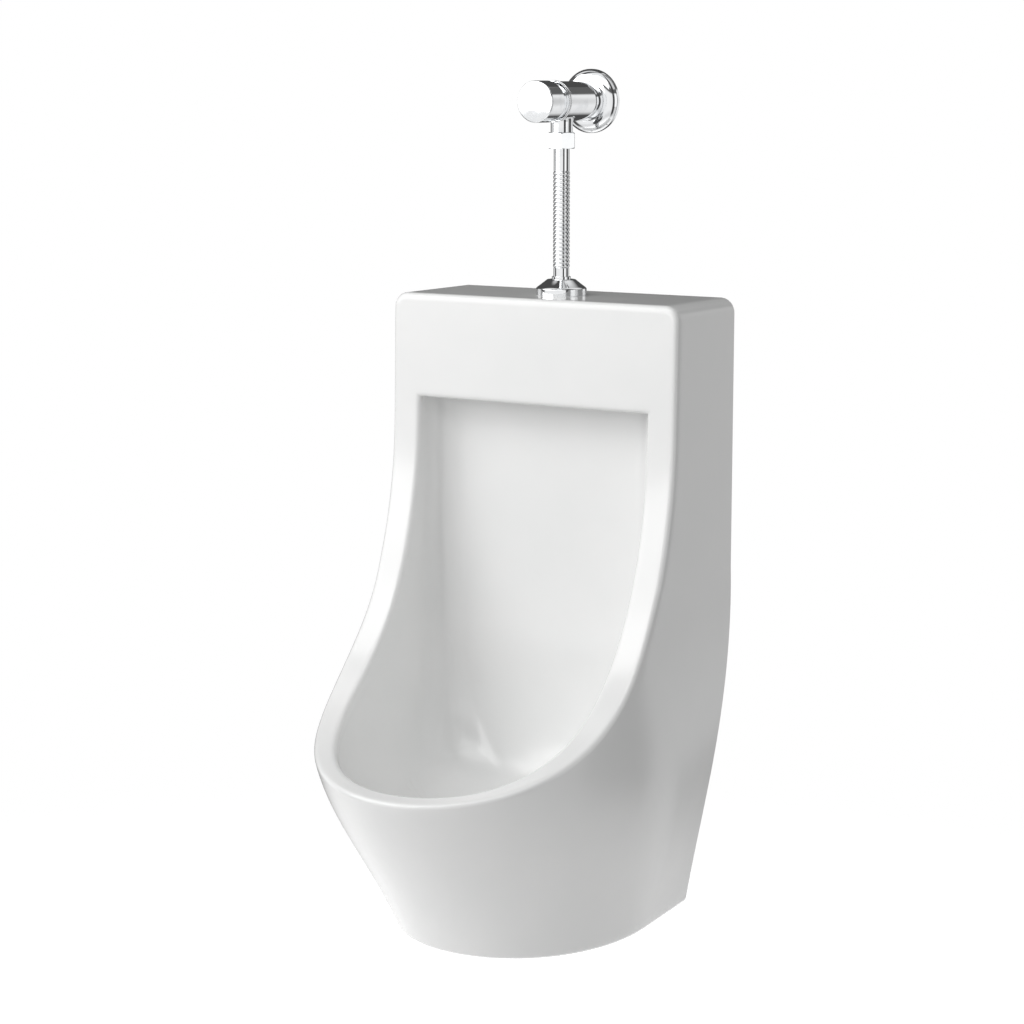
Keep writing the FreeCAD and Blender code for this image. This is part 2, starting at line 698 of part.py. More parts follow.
def make_valve_inside():
    """Strainer, seat sleeve, piston, disc and stem, from the wall outwards."""
    mesh = new_body("inlet_filter")
    turned(mesh, "cup", [(6.5, -14), (7.3, -14), (7.3, 4), (0, 4), (0, 3.2), (6.5, 3.2)])
    slot = closed_outline(mesh, "slot_outline", "XZ_Plane", [(-1, -11), (1, -11), (1, 1), (-1, 1)])
    around(mesh, "slots", slot, 3, 20)

    sleeve = new_body("cartridge_sleeve")
    turned(sleeve, "sleeve", [(7, 38), (13.8, 38), (13.8, 63), (16, 63), (16, 66), (11, 66), (11, 42), (7, 42)])
    window = closed_outline(sleeve, "window_outline", "XZ_Plane", [(-4, 44), (4, 44), (4, 54), (-4, 54)])
    around(sleeve, "windows", window, 2, 40)

    piston = new_body("piston")
    turned(piston, "piston", [
        (stem_radius, 57), (10.4, 57), (10.4, 58.6), (8.9, 58.6), (8.9, 60.4), (10.4, 60.4), (10.4, 62),
        (stem_radius, 62),
    ])
    stem = new_body("stem")
    turned(stem, "stem", [(0, 30), (5, 30), (5, 34.4), (stem_radius, 34.4), (stem_radius, 108), (0, 108)])
    bonnet = new_body("bonnet")
    turned(bonnet, "bonnet", [
        (2.8, 66), (16, 66), (16, 76.8), (20.8, 76.8), (20.8, 79), (17.6, 79), (17.6, 92), (15, 92), (15, 80),
        (2.8, 80), (2.8, 72.1), (4.8, 72.1), (4.8, 69.9), (2.8, 69.9),
    ])
    pieces = [mesh, sleeve, piston, stem, bonnet]
    pieces.append(ring_piece("piston_seal", 58.7, 60.3, 8.9, 10.7))
    pieces.append(ring_piece("valve_disc", 34.4, 37.9, stem_radius, 9.5))
    pieces.append(ring_piece("stem_seal", 70, 72, 2.8, 4.7))
    pieces.append(ring_piece("bonnet_seal", 76, 76.8, 16.2, 20.5))
    pieces.append(ring_piece("return_spring", 80, 110, 8.6, 10))
    return [valve_place(piece) for piece in pieces]


def make_button():
    body = new_body("button_cap")
    rim, end = as_size(88), as_size(110)
    turned(body, "cap", [
        (18.6, rim), (20.2, rim), (button_radius, rim + 0.6), (button_radius, end + 0.4), (19.2, end + 1.9),
        (0, end + 2.6), (0, 108), (stem_radius, 108), (stem_radius, 104), (4.5, 104), (4.5, end), (18.6, end),
    ], {3: [(20.26, end + 1.46)]})
    return valve_place(body)


def make_rosette():
    body = new_body("wall_rosette")
    turned(body, "dome", [
        (20.3, 10.8), (20.3, 12), (rosette_radius, 4.5), (rosette_radius, 0), (rosette_radius - 1.2, 0),
        (rosette_radius - 1.2, 4.2),
    ], {1: [(27.9, 9.6)], 5: [(27.3, 8.4)]})
    return valve_place(body)


def make_flush_pipe():
    """A chromed tube with a flanged top end and a length of bellows, open right through."""
    rows = [(-43, 10), (-44.5, 10), (-44.5, pipe_radius.value), (-bellows_top.value, pipe_radius.value)]
    pitch = bellows_length.value / bellows_ribs
    crest, valley = pipe_radius.value + 0.3, pipe_radius.value - 0.6
    for rib in range(bellows_ribs):
        top = -bellows_top.value - rib * pitch
        for share, radius in ((0.1, valley), (0.35, crest), (0.65, crest), (0.9, valley)):
            rows.append((top - share * pitch, radius))
    end = inlet_end.value - valve_height.value
    rows += [(-bellows_top.value - bellows_length.value, pipe_radius.value), (end, pipe_radius.value)]
    flange = Part.makeCylinder(10, 1.5, V(0, 0, -44.5))
    x_axis = V(1, 0, 0)
    rings = []
    for z, radius in rows[2:]:
        circle = Part.Circle(V(0, 0, z), V(0, 0, 1), radius)
        circle.XAxis = x_axis
        rings.append(Part.Wire([Part.Edge(circle)]))
    tube = Part.makeLoft(rings, True, True).fuse(flange)
    tube = tube.cut(Part.makeCylinder(pipe_bore.value, 400, V(0, 0, -400)))
    pipe = doc.addObject("Part::Feature", "flush_pipe")
    pipe.Label = "flush_pipe"
    pipe.Shape = tube.Solids[0]
    return pipe_place(pipe)


def make_pipe_fittings():
    pieces = [
        hex_nut("union_nut", 26, -47, -31, 10.4, lip=(8.3, 2), lip_below=True),
        ring_piece("outlet_washer", -43, -41, 7.2, 10),
    ]
    floor = body_height - valve_height
    flange = new_body("pipe_flange")
    turned(flange, "flange", [
        (8.6, floor + 19), (9.6, floor + 19), (9.6, floor + 16), (14.5, floor + 16), (24.6, floor + 8.4),
        (flange_radius, floor + 7), (flange_radius, floor), (flange_radius - 1.2, floor),
        (flange_radius - 1.2, floor + 6.6), (14, floor + 14.8), (8.6, floor + 14.8),
    ])
    seal = new_body("inlet_seal")
    turned(seal, "cone", [
        (pipe_radius, floor - 12.5), (13, floor - 12.5), (19, floor - 3), (19, floor), (24, floor),
        (24, floor + 2.5), (pipe_radius, floor + 2.5),
    ])
    return [pipe_place(piece) for piece in pieces + [flange, seal]]


# ---------------------------------------------------------------- build, check and write
sub_parts = [make_china()]
sub_parts += [make_bracket(-1, "wall_bracket_left"), make_bracket(1, "wall_bracket_right")]
sub_parts += make_fixings()
sub_parts += make_waste()
sub_parts += [make_rosette(), make_valve_body(), *make_valve_inside(), make_button()]
sub_parts += [make_flush_pipe(), *make_pipe_fittings()]
doc.recompute()

for obj in doc.Objects:
    if "Invalid" in obj.State or "Error" in obj.State:
        raise RuntimeError(f"{obj.Name} failed: {obj.State}")
os.makedirs("parts", exist_ok=True)
for part in sub_parts:
    if part.Shape.isNull() or not part.Shape.isValid():
        raise RuntimeError(f"{part.Label} has no valid shape")
    part.Shape.exportStep(f"parts/{part.Label}.step")
    print(part.Label, len(part.Shape.Solids), round(part.Shape.Volume))
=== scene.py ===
import bpy
import bmesh
import json
import math
from bisect import bisect_right
from functools import lru_cache
from mathutils import Matrix, Vector
from mathutils.bvhtree import BVHTree


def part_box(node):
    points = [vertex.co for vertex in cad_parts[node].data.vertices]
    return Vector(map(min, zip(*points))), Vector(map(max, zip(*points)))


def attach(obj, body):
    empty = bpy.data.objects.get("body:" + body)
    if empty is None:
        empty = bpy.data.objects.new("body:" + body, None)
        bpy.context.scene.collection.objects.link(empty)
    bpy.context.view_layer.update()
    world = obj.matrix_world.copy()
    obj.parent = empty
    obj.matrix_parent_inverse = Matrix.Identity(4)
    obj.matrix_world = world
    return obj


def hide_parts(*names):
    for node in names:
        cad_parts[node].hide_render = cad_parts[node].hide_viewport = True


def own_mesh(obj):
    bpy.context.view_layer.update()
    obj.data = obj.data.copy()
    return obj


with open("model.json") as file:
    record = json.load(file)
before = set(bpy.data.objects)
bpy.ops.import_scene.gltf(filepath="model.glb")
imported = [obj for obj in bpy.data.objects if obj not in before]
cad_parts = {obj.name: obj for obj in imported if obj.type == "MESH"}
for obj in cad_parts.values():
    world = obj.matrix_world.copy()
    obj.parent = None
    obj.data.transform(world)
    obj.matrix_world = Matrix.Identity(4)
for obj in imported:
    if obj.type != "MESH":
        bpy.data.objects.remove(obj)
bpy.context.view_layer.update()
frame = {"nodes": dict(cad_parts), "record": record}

nodes = frame["nodes"]
print("frame loaded,", len(nodes), "nodes")


# ---------------------------------------------------------------- small helpers for materials
def startMaterial(name, shaderValues):
    material = bpy.data.materials.new(name)
    material.use_nodes = True
    tree = material.node_tree
    shader = tree.nodes["Principled BSDF"]
    for socket, value in shaderValues.items():
        shader.inputs[socket].default_value = value
    return material, tree, shader


def addNode(tree, kind, values=None, **settings):
    node = tree.nodes.new(kind)
    for key, value in settings.items():
        setattr(node, key, value)
    for socket, value in (values or {}).items():
        node.inputs[socket].default_value = value
    return node


def objectPlace(tree, scale=(1, 1, 1), turn=(0, 0, 0)):
    coord = addNode(tree, "ShaderNodeTexCoord")
    mapping = addNode(tree, "ShaderNodeMapping", {"Scale": scale, "Rotation": turn})
    tree.links.new(coord.outputs["Object"], mapping.inputs["Vector"])
    return mapping.outputs["Vector"]


def blendColours(tree, factor, low, high):
    mix = addNode(tree, "ShaderNodeMix", data_type="RGBA")
    tree.links.new(factor, mix.inputs[0])
    for socket, value in ((mix.inputs[6], low), (mix.inputs[7], high)):
        if hasattr(value, "links"):
            tree.links.new(value, socket)
        else:
            socket.default_value = (*value, 1)
    return mix.outputs[2]


def mapRange(tree, value, low, high, fromLow=0.0, fromHigh=1.0):
    node = addNode(tree, "ShaderNodeMapRange", {1: fromLow, 2: fromHigh, 3: low, 4: high})
    tree.links.new(value, node.inputs[0])
    return node.outputs[0]


def addBump(tree, shader, height, strength, distance, socket="Normal"):
    bump = addNode(tree, "ShaderNodeBump", {"Strength": strength, "Distance": distance})
    tree.links.new(height, bump.inputs["Height"])
    tree.links.new(bump.outputs["Normal"], shader.inputs[socket])
    return bump


def newGroup(name, inputs, outputs):
    group = bpy.data.node_groups.new(name, "ShaderNodeTree")
    for label, kind, value in inputs:
        socket = group.interface.new_socket(name=label, in_out="INPUT", socket_type=kind)
        if value is not None:
            socket.default_value = value
    for label, kind in outputs:
        group.interface.new_socket(name=label, in_out="OUTPUT", socket_type=kind)
    return group, group.nodes.new("NodeGroupInput"), group.nodes.new("NodeGroupOutput")


def useGroup(tree, group, vector, **values):
    node = tree.nodes.new("ShaderNodeGroup")
    node.node_tree = group
    tree.links.new(vector, node.inputs["Vector"])
    for label, value in values.items():
        node.inputs[label].default_value = value
    return node


# ---------------------------------------------------------------- effects that several finishes share
def makeSmudgeGroup():
    # finger marks and polishing lines on metal: a roughness and a height
    group, entry, leave = newGroup("smudgesAndPolish", [
        ("Vector", "NodeSocketVector", None),
        ("Smudge size", "NodeSocketFloat", 60.0),
        ("Line size", "NodeSocketFloat", 900.0),
        ("Clean", "NodeSocketFloat", 0.05),
        ("Dull", "NodeSocketFloat", 0.16),
    ], [("Roughness", "NodeSocketFloat"), ("Height", "NodeSocketFloat"), ("Mask", "NodeSocketFloat")])
    links = group.links
    smudge = addNode(group, "ShaderNodeTexNoise", {"Detail": 5.0, "Roughness": 0.62, "Distortion": 0.8})
    links.new(entry.outputs["Vector"], smudge.inputs["Vector"])
    links.new(entry.outputs["Smudge size"], smudge.inputs["Scale"])
    mask = addNode(group, "ShaderNodeMapRange", {1: 0.45, 2: 0.75, 3: 0.0, 4: 1.0}, interpolation_type="SMOOTHSTEP")
    links.new(smudge.outputs["Fac"], mask.inputs[0])
    lines = addNode(group, "ShaderNodeTexNoise", {"Detail": 3.0, "Roughness": 0.7})
    stretch = addNode(group, "ShaderNodeMapping", {"Scale": (1.0, 0.04, 1.0)})
    links.new(entry.outputs["Vector"], stretch.inputs["Vector"])
    links.new(stretch.outputs["Vector"], lines.inputs["Vector"])
    links.new(entry.outputs["Line size"], lines.inputs["Scale"])
    rough = addNode(group, "ShaderNodeMapRange", {1: 0.0, 2: 1.0})
    links.new(mask.outputs[0], rough.inputs[0])
    links.new(entry.outputs["Clean"], rough.inputs[3])
    links.new(entry.outputs["Dull"], rough.inputs[4])
    links.new(rough.outputs[0], leave.inputs["Roughness"])
    links.new(lines.outputs["Fac"], leave.inputs["Height"])
    links.new(mask.outputs[0], leave.inputs["Mask"])
    return group


def makeGrainGroup():
    # fine moulded or cast grain over a slow change of tone
    group, entry, leave = newGroup("fineGrain", [
        ("Vector", "NodeSocketVector", None),
        ("Grain size", "NodeSocketFloat", 1500.0),
        ("Tone size", "NodeSocketFloat", 25.0),
    ], [("Height", "NodeSocketFloat"), ("Tone", "NodeSocketFloat"), ("Specks", "NodeSocketFloat")])
    links = group.links
    grain = addNode(group, "ShaderNodeTexNoise", {"Detail": 4.0, "Roughness": 0.6})
    tone = addNode(group, "ShaderNodeTexNoise", {"Detail": 3.0, "Roughness": 0.5})
    specks = addNode(group, "ShaderNodeTexVoronoi", feature="F1")
    for texture, label in ((grain, "Grain size"), (tone, "Tone size"), (specks, "Grain size")):
        links.new(entry.outputs["Vector"], texture.inputs["Vector"])
        links.new(entry.outputs[label], texture.inputs["Scale"])
    dots = addNode(group, "ShaderNodeMapRange", {1: 0.05, 2: 0.16, 3: 1.0, 4: 0.0}, interpolation_type="SMOOTHSTEP")
    links.new(specks.outputs["Distance"], dots.inputs[0])
    links.new(grain.outputs["Fac"], leave.inputs["Height"])
    links.new(tone.outputs["Fac"], leave.inputs["Tone"])
    links.new(dots.outputs[0], leave.inputs["Specks"])
    return group


smudgeGroup = makeSmudgeGroup()
grainGroup = makeGrainGroup()


# ---------------------------------------------------------------- finishes
def makeGlaze():
    look = {"light": (0.88, 0.88, 0.875), "deep": (0.85, 0.855, 0.85), "speck": (0.68, 0.66, 0.62)}
    material, tree, shader = startMaterial("chinaGlaze", {
        "IOR": 1.45, "Coat Weight": 0.6, "Coat Roughness": 0.15, "Coat IOR": 1.45,
    })
    place = objectPlace(tree)
    grain = useGroup(tree, grainGroup, place, **{"Grain size": 260.0, "Tone size": 7.0})
    tone = blendColours(tree, mapRange(tree, grain.outputs["Tone"], 0.0, 1.0, 0.35, 0.65), look["deep"], look["light"])
    faint = mapRange(tree, grain.outputs["Specks"], 0.0, 0.10)
    colour = blendColours(tree, faint, tone, look["speck"])
    tree.links.new(colour, shader.inputs["Base Color"])
    tree.links.new(mapRange(tree, grain.outputs["Tone"], 0.19, 0.27), shader.inputs["Roughness"])
    wave = addNode(tree, "ShaderNodeTexNoise", {"Scale": 38.0, "Detail": 2.0, "Roughness": 0.4})
    tree.links.new(place, wave.inputs["Vector"])
    addBump(tree, shader, wave.outputs["Fac"], 0.12, 0.0012)
    return material


def makeBiscuit():
    # bare fired clay of the wall side: chalky, warm, with pores and sponge marks
    look = {"pale": (0.84, 0.82, 0.77), "warm": (0.77, 0.74, 0.68), "pore": (0.55, 0.51, 0.45)}
    material, tree, shader = startMaterial("bareClay", {"IOR": 1.45})
    place = objectPlace(tree)
    grain = useGroup(tree, grainGroup, place, **{"Grain size": 700.0, "Tone size": 14.0})
    tone = blendColours(tree, mapRange(tree, grain.outputs["Tone"], 0.0, 1.0, 0.35, 0.65), look["pale"], look["warm"])
    pores = mapRange(tree, grain.outputs["Specks"], 0.0, 0.45)
    tree.links.new(blendColours(tree, pores, tone, look["pore"]), shader.inputs["Base Color"])
    tree.links.new(mapRange(tree, grain.outputs["Tone"], 0.78, 0.94, 0.3, 0.7), shader.inputs["Roughness"])
    addBump(tree, shader, grain.outputs["Height"], 0.4, 0.0004)
    return material


def makeChrome():
    look = {"bright": (0.90, 0.91, 0.92), "hazy": (0.80, 0.815, 0.83)}
    material, tree, shader = startMaterial("polishedChrome", {"Metallic": 1.0})
    place = objectPlace(tree)
    marks = useGroup(tree, smudgeGroup, place, **{"Smudge size": 55.0, "Clean": 0.035, "Dull": 0.11})
    tree.links.new(blendColours(tree, marks.outputs["Mask"], look["bright"], look["hazy"]), shader.inputs["Base Color"])
    tree.links.new(marks.outputs["Roughness"], shader.inputs["Roughness"])
    addBump(tree, shader, marks.outputs["Height"], 0.05, 0.00004)
    return material


def makeBrass():
    look = {"bright": (0.80, 0.62, 0.34), "aged": (0.60, 0.42, 0.20)}
    material, tree, shader = startMaterial("turnedBrass", {"Metallic": 1.0})
    place = objectPlace(tree)
    marks = useGroup(tree, smudgeGroup, place, **{"Smudge size": 90.0, "Clean": 0.22, "Dull": 0.42})
    tree.links.new(blendColours(tree, marks.outputs["Mask"], look["bright"], look["aged"]), shader.inputs["Base Color"])
    tree.links.new(marks.outputs["Roughness"], shader.inputs["Roughness"])
    addBump(tree, shader, marks.outputs["Height"], 0.35, 0.0001)
    return material


def makeGalvanised():
    look = {"light": (0.66, 0.68, 0.70), "dark": (0.46, 0.49, 0.52)}
    material, tree, shader = startMaterial("galvanisedSteel", {"Metallic": 0.9})
    place = objectPlace(tree)
    spangle = addNode(tree, "ShaderNodeTexVoronoi", {"Scale": 140.0, "Randomness": 1.0}, feature="F1")
    tree.links.new(place, spangle.inputs["Vector"])
    flake = addNode(tree, "ShaderNodeSeparateColor")
    tree.links.new(spangle.outputs["Color"], flake.inputs[0])
    marks = useGroup(tree, smudgeGroup, place, **{"Smudge size": 80.0, "Clean": 0.34, "Dull": 0.5})
    tree.links.new(blendColours(tree, flake.outputs[0], look["dark"], look["light"]), shader.inputs["Base Color"])
    tree.links.new(mapRange(tree, flake.outputs[1], 0.32, 0.55), shader.inputs["Roughness"])
    addBump(tree, shader, marks.outputs["Height"], 0.2, 0.0001)
    return material


def makeZinc():
    look = {"blue": (0.62, 0.66, 0.72), "warm": (0.70, 0.69, 0.60)}
    material, tree, shader = startMaterial("zincPlate", {"Metallic": 1.0})
    place = objectPlace(tree)
    marks = useGroup(tree, smudgeGroup, place, **{"Smudge size": 240.0, "Clean": 0.22, "Dull": 0.38})
    tree.links.new(blendColours(tree, marks.outputs["Mask"], look["blue"], look["warm"]), shader.inputs["Base Color"])
    tree.links.new(marks.outputs["Roughness"], shader.inputs["Roughness"])
    addBump(tree, shader, marks.outputs["Height"], 0.2, 0.00008)
    return material


def makeSpringSteel():
    look = {"bright": (0.56, 0.57, 0.58), "dark": (0.34, 0.35, 0.37)}
    material, tree, shader = startMaterial("springWire", {"Metallic": 1.0})
    place = objectPlace(tree)
    marks = useGroup(tree, smudgeGroup, place, **{"Smudge size": 300.0, "Clean": 0.2, "Dull": 0.34})
    tree.links.new(blendColours(tree, marks.outputs["Mask"], look["bright"], look["dark"]), shader.inputs["Base Color"])
    tree.links.new(marks.outputs["Roughness"], shader.inputs["Roughness"])
    addBump(tree, shader, marks.outputs["Height"], 0.25, 0.00006)
    return material


def makePlastic(name, light, dark, roughness, grain, subsurface=0.0):
    material, tree, shader = startMaterial(name, {"IOR": 1.48, "Subsurface Weight": subsurface, "Subsurface Scale": 0.002})
    place = objectPlace(tree)
    fine = useGroup(tree, grainGroup, place, **{"Grain size": grain, "Tone size": 30.0})
    tree.links.new(blendColours(tree, mapRange(tree, fine.outputs["Tone"], 0.0, 1.0, 0.35, 0.65), dark, light), shader.inputs["Base Color"])
    tree.links.new(mapRange(tree, fine.outputs["Tone"], roughness - 0.06, roughness + 0.08, 0.3, 0.7), shader.inputs["Roughness"])
    addBump(tree, shader, fine.outputs["Height"], 0.25, 0.00012)
    return material


def makeRubber():
    look = {"black": (0.018, 0.018, 0.019), "bloom": (0.055, 0.054, 0.052)}
    material, tree, shader = startMaterial("blackRubber", {"IOR": 1.5})
    place = objectPlace(tree)
    fine = useGroup(tree, grainGroup, place, **{"Grain size": 1900.0, "Tone size": 60.0})
    tree.links.new(blendColours(tree, mapRange(tree, fine.outputs["Tone"], 0.0, 1.0, 0.45, 0.75), look["black"], look["bloom"]), shader.inputs["Base Color"])
    tree.links.new(mapRange(tree, fine.outputs["Tone"], 0.38, 0.62, 0.3, 0.7), shader.inputs["Roughness"])
    addBump(tree, shader, fine.outputs["Height"], 0.35, 0.00015)
    return material


finishes = {
    "china": makeGlaze(),
    "chrome_plate": makeChrome(),
    "brass_parts": makeBrass(),
    "galvanised": makeGalvanised(),
    "zinc_screws": makeZinc(),
    "spring_steel": makeSpringSteel(),
    "plug_plastic": makePlastic("plugNylon", (0.36, 0.37, 0.38), (0.30, 0.31, 0.32), 0.5, 1400.0),
    "white_plastic": makePlastic("whitePolypropylene", (0.80, 0.80, 0.79), (0.74, 0.745, 0.74), 0.34, 1200.0, 0.06),
    "filter_plastic": makePlastic("filterPlastic", (0.80, 0.80, 0.78), (0.72, 0.72, 0.69), 0.4, 1300.0),
    "black_rubber": makeRubber(),
}
print("finishes made:", len(finishes))

# every CAD node takes the finish of its own slot in the record
slotOf = {part["node"]: part["material_slot"] for part in frame["record"]["subparts"]}
for name, part in nodes.items():
    part.data.materials.clear()
    part.data.materials.append(finishes[slotOf[name]])
print("nodes finished:", len(slotOf))


# ---------------------------------------------------------------- china: one smooth skin over the bowl, rim and sides
# lengths in millimetres; each list runs over the heights in "levels"
china = {
    "levels": [0, 91.65, 183.3, 274.95, 366.6],
    "wallHalf": [119, 137, 154.5, 165.5, 167.5],
    "sideHalf": [127, 151, 168, 168, 167.5],
    "reach": [268.5, 327.25, 386, 406, 410],
    "straight": [97, 97, 110, 165, 165],
    "rimCurve": [(-122, 488), (-136, 354), (-186, 228), (-386, 183.3)],
    "topDepth": 118.6, "top": 640, "corner": 15, "slot": 533, "ceilingStrip": 110, "bendRun": 40, "flatArea": 700,
    "wall": 12, "edgeRadius": 5.0, "edgeSteps": 5, "frontInset": 8, "frontRows": 4, "perimeter": 400, "kneeHeight": 262,
    "rimSteps": 110, "topSteps": 24, "cornerSteps": 6, "skinRows": 26, "bowlRows": 44,
}
bowl = {
    "levels": [118, 170.317, 222.633, 274.95], "chord": [0, 0.46, 0.72, 1],
    "back": [140, 84, 79, 82],
    "half": [60, 127, 134, 135],
    "corner": [55, 60, 45, 35],
    "widest": [200, 195, 205, 216],
    "reach": [262, 357, 378, 394],
    "drain": (0, -200), "drainRadius": 37, "soften": 16, "floorRun": 40, "backShare": 0.3,
    "spineHalf": 75, "spineTop": 330, "spineKnee": (105, 90), "kneeRise": 120,
}


def splineSlopes(levels, values):
    # second derivatives of a cubic through evenly spaced levels, with the end ones carried on
    step = levels[1] - levels[0]
    count = len(values)
    bend = [0.0] * count
    for sweep in range(200):
        for i in range(1, count - 1):
            push = 6 * (values[i - 1] - 2 * values[i] + values[i + 1]) / step ** 2
            bend[i] = (push - bend[i - 1] - bend[i + 1]) / 4
        bend[0] = 2 * bend[1] - bend[2]
        bend[-1] = 2 * bend[-2] - bend[-3]
    return bend


def throughFour(knots, values, at):
    total = 0.0
    for i, value in enumerate(values):
        for j, knot in enumerate(knots):
            if j != i:
                value = value * (at - knot) / (knots[i] - knot)
        total += value
    return total


fineSteps = 400
bowlHeights = [throughFour(bowl["chord"], bowl["levels"], i / fineSteps) for i in range(fineSteps + 1)]
bends = {key: splineSlopes(china["levels"], china[key]) for key in ("wallHalf", "sideHalf", "reach", "straight")}


@lru_cache(maxsize=None)
def chinaSizes(z):
    # the outside's half widths, reach and straight run at a height
    levels = china["levels"]
    z = min(max(z, levels[0]), levels[-1])
    step = levels[1] - levels[0]
    i = min(int((z - levels[0]) / step), len(levels) - 2)
    a = (levels[i + 1] - z) / step
    b = 1 - a
    sizes = []
    for key, bend in bends.items():
        curve = ((a ** 3 - a) * bend[i] + (b ** 3 - b) * bend[i + 1]) * step ** 2 / 6
        sizes.append(a * china[key][i] + b * china[key][i + 1] + curve)
    return sizes


@lru_cache(maxsize=None)
def bowlSizes(z):
    # the bowl's back, half width, corner, widest point and reach: one cubic over the spacing along its wall
    z = min(max(z, bowl["levels"][0]), bowl["levels"][-1])
    i = min(max(bisect_right(bowlHeights, z) - 1, 0), fineSteps - 1)
    share = (i + (z - bowlHeights[i]) / (bowlHeights[i + 1] - bowlHeights[i])) / fineSteps
    return [throughFour(bowl["chord"], bowl[key], share) for key in ("back", "half", "corner", "widest", "reach")]


def cubicPoint(poles, t):
    s = 1 - t
    weights = (s ** 3, 3 * s * s * t, 3 * s * t * t, t ** 3)
    return tuple(sum(w * pole[k] for w, pole in zip(weights, poles)) for k in range(2))


def skinPoint(p, z, inset=0.0):
    # outside of the china: p runs from the wall (0) along the side and round to the nose (1)
    wallHalf, sideHalf, reach, straight = chinaSizes(z)
    wallHalf, sideHalf, reach = wallHalf - inset, sideHalf - inset, reach - inset
    share = 0.36
    if p <= share:
        along = p / share
        return (wallHalf + (sideHalf - wallHalf) * along, -straight * along)
    nose = reach - straight
    side = sideHalf + (sideHalf - wallHalf) / straight * nose * 0.6
    poles = [(sideHalf, -straight), (side, -(straight + nose * 0.6)), (sideHalf * 0.6, -reach), (0, -reach)]
    return cubicPoint(poles, (p - share) / (1 - share))


def bowlPoint(q, z):
    # inside of the bowl: q runs from the middle of the back (0) to the nose (1)
    back, half, corner, widest, reach = bowlSizes(z)
    if z > bowl["levels"][-1]:
        widest = widest + (z - bowl["levels"][-1]) * 1.5
    flat = half - corner
    if q <= 0.25:
        return (flat * q / 0.25, -back)
    if q <= 0.40:
        pull = 0.56
        poles = [(flat, -back), (flat + corner * pull, -back), (half, -(back + corner * (1 - pull))), (half, -(back + corner))]
        return cubicPoint(poles, (q - 0.25) / 0.15)
    if q <= 0.55:
        along = (q - 0.40) / 0.15
        return (half, -(back + corner) - (widest - back - corner) * along)
    nose = max(reach, widest + 60) - widest
    poles = [(half, -widest), (half, -(widest + nose * 0.6)), (half * 0.6, -(widest + nose)), (0, -(widest + nose))]
    return cubicPoint(poles, (q - 0.55) / 0.45)


def solveShare(shape, y, low=0.0, high=1.0):
    # the share of the outline at which it reaches depth y
    for step in range(40):
        middle = (low + high) / 2
        if shape(middle)[1] > y:
            low = middle
        else:
            high = middle
    return (low + high) / 2


def frontDepth(t):
    # the front cut: t below 0 is the flat panel (height above its foot), 0 to 1 the rim curve
    poles, soft = china["rimCurve"], china["bendRun"]
    lean = (-china["topDepth"] - poles[0][0]) / (china["top"] - poles[0][1])
    if t <= 0:
        rise = (poles[0][1] - china["top"]) * t
        y, z = poles[0][0] + lean * rise, poles[0][1] + rise
    else:
        y, z = cubicPoint(poles, t)
    below = poles[0][1] - z
    if abs(below) < soft:    # the bend between panel and curve is spread over a run
        turn = (poles[1][0] - poles[0][0]) / (poles[1][1] - poles[0][1]) - lean
        y -= turn * ((below + soft) ** 2 / (4 * soft) - max(0.0, below))
    return (y, z)


def softBowl(q, w):
    # the bowl's skin: w above 0 is height over the floor, below 0 the way in along the floor to the drain ring
    floor = bowl["levels"][0]
    if w >= 0:
        return Vector((*bowlPoint(q, floor + w), floor + w))
    x, y = bowlPoint(q, floor)
    angle = math.pi * q
    ring = Vector((bowl["drain"][0] + bowl["drainRadius"] * math.sin(angle), bowl["drain"][1] + bowl["drainRadius"] * math.cos(angle), floor))
    share = -w / bowl["floorRun"]
    return Vector((x, y, floor)).lerp(ring, share)


def bowlSkin(q, w):
    # the same, with the turn between floor and wall rolled over
    reach = bowl["soften"] * max(0.0, 1 - abs(w) / (bowl["soften"] * 2.2))
    reach = min(reach, bowl["floorRun"] + w)
    if reach < 0.01:
        return softBowl(q, w)
    total = Vector((0, 0, 0))
    for k in range(-4, 5):
        total += softBowl(q, w + reach * k / 4)
    return total / 9


def stepsAlong(curve, count, low, high):
    # values between low and high at even distances along a curve of points
    dense = [low + (high - low) * i / 600 for i in range(601)]
    points = [Vector(curve(t)) for t in dense]
    run = [0.0]
    for a, b in zip(points, points[1:]):
        run.append(run[-1] + (b - a).length)
    values, k = [], 0
    for i in range(count + 1):
        goal = run[-1] * i / count
        while k < 599 and run[k + 1] < goal:
            k += 1
        share = (goal - run[k]) / max(run[k + 1] - run[k], 1e-9)
        values.append(dense[k] + (dense[k + 1] - dense[k]) * min(share, 1.0))
    return values


def outerRim(t):
    y, z = frontDepth(t)
    p = solveShare(lambda share: skinPoint(share, z), y) if t < 0.9999 else 1.0
    return (skinPoint(p, z)[0], y, z), p


def innerRim(t):
    y, z = frontDepth(t)
    q = solveShare(lambda share: bowlPoint(share, z), y)
    return (bowlPoint(q, z)[0], y, z), q


def bentLine(start, inward, reach, end, rows, first):
    # a line in the skin's own coordinates that leaves the rim squarely and bends to the far edge
    handle = start + inward * reach
    share = [0.0] + [first + (1 - first) * i / (rows - 1) for i in range(rows)]
    return [start * (1 - s) ** 2 + handle * 2 * s * (1 - s) + end * s * s for s in share]


def squareTo(points, i):
    before, after = points[max(i - 1, 0)], points[min(i + 1, len(points) - 1)]
    run = (after - before).normalized()
    return Vector((-run.y, run.x))


def fillGrid(bm, rows):
    # joins equal rows of points with faces and gives the rows of vertices back
    lines = [[bm.verts.new(point) for point in row] for row in rows]
    for above, below in zip(lines, lines[1:]):
        for i in range(len(above) - 1):
            bm.faces.new((above[i], above[i + 1], below[i + 1], below[i]))
    return lines


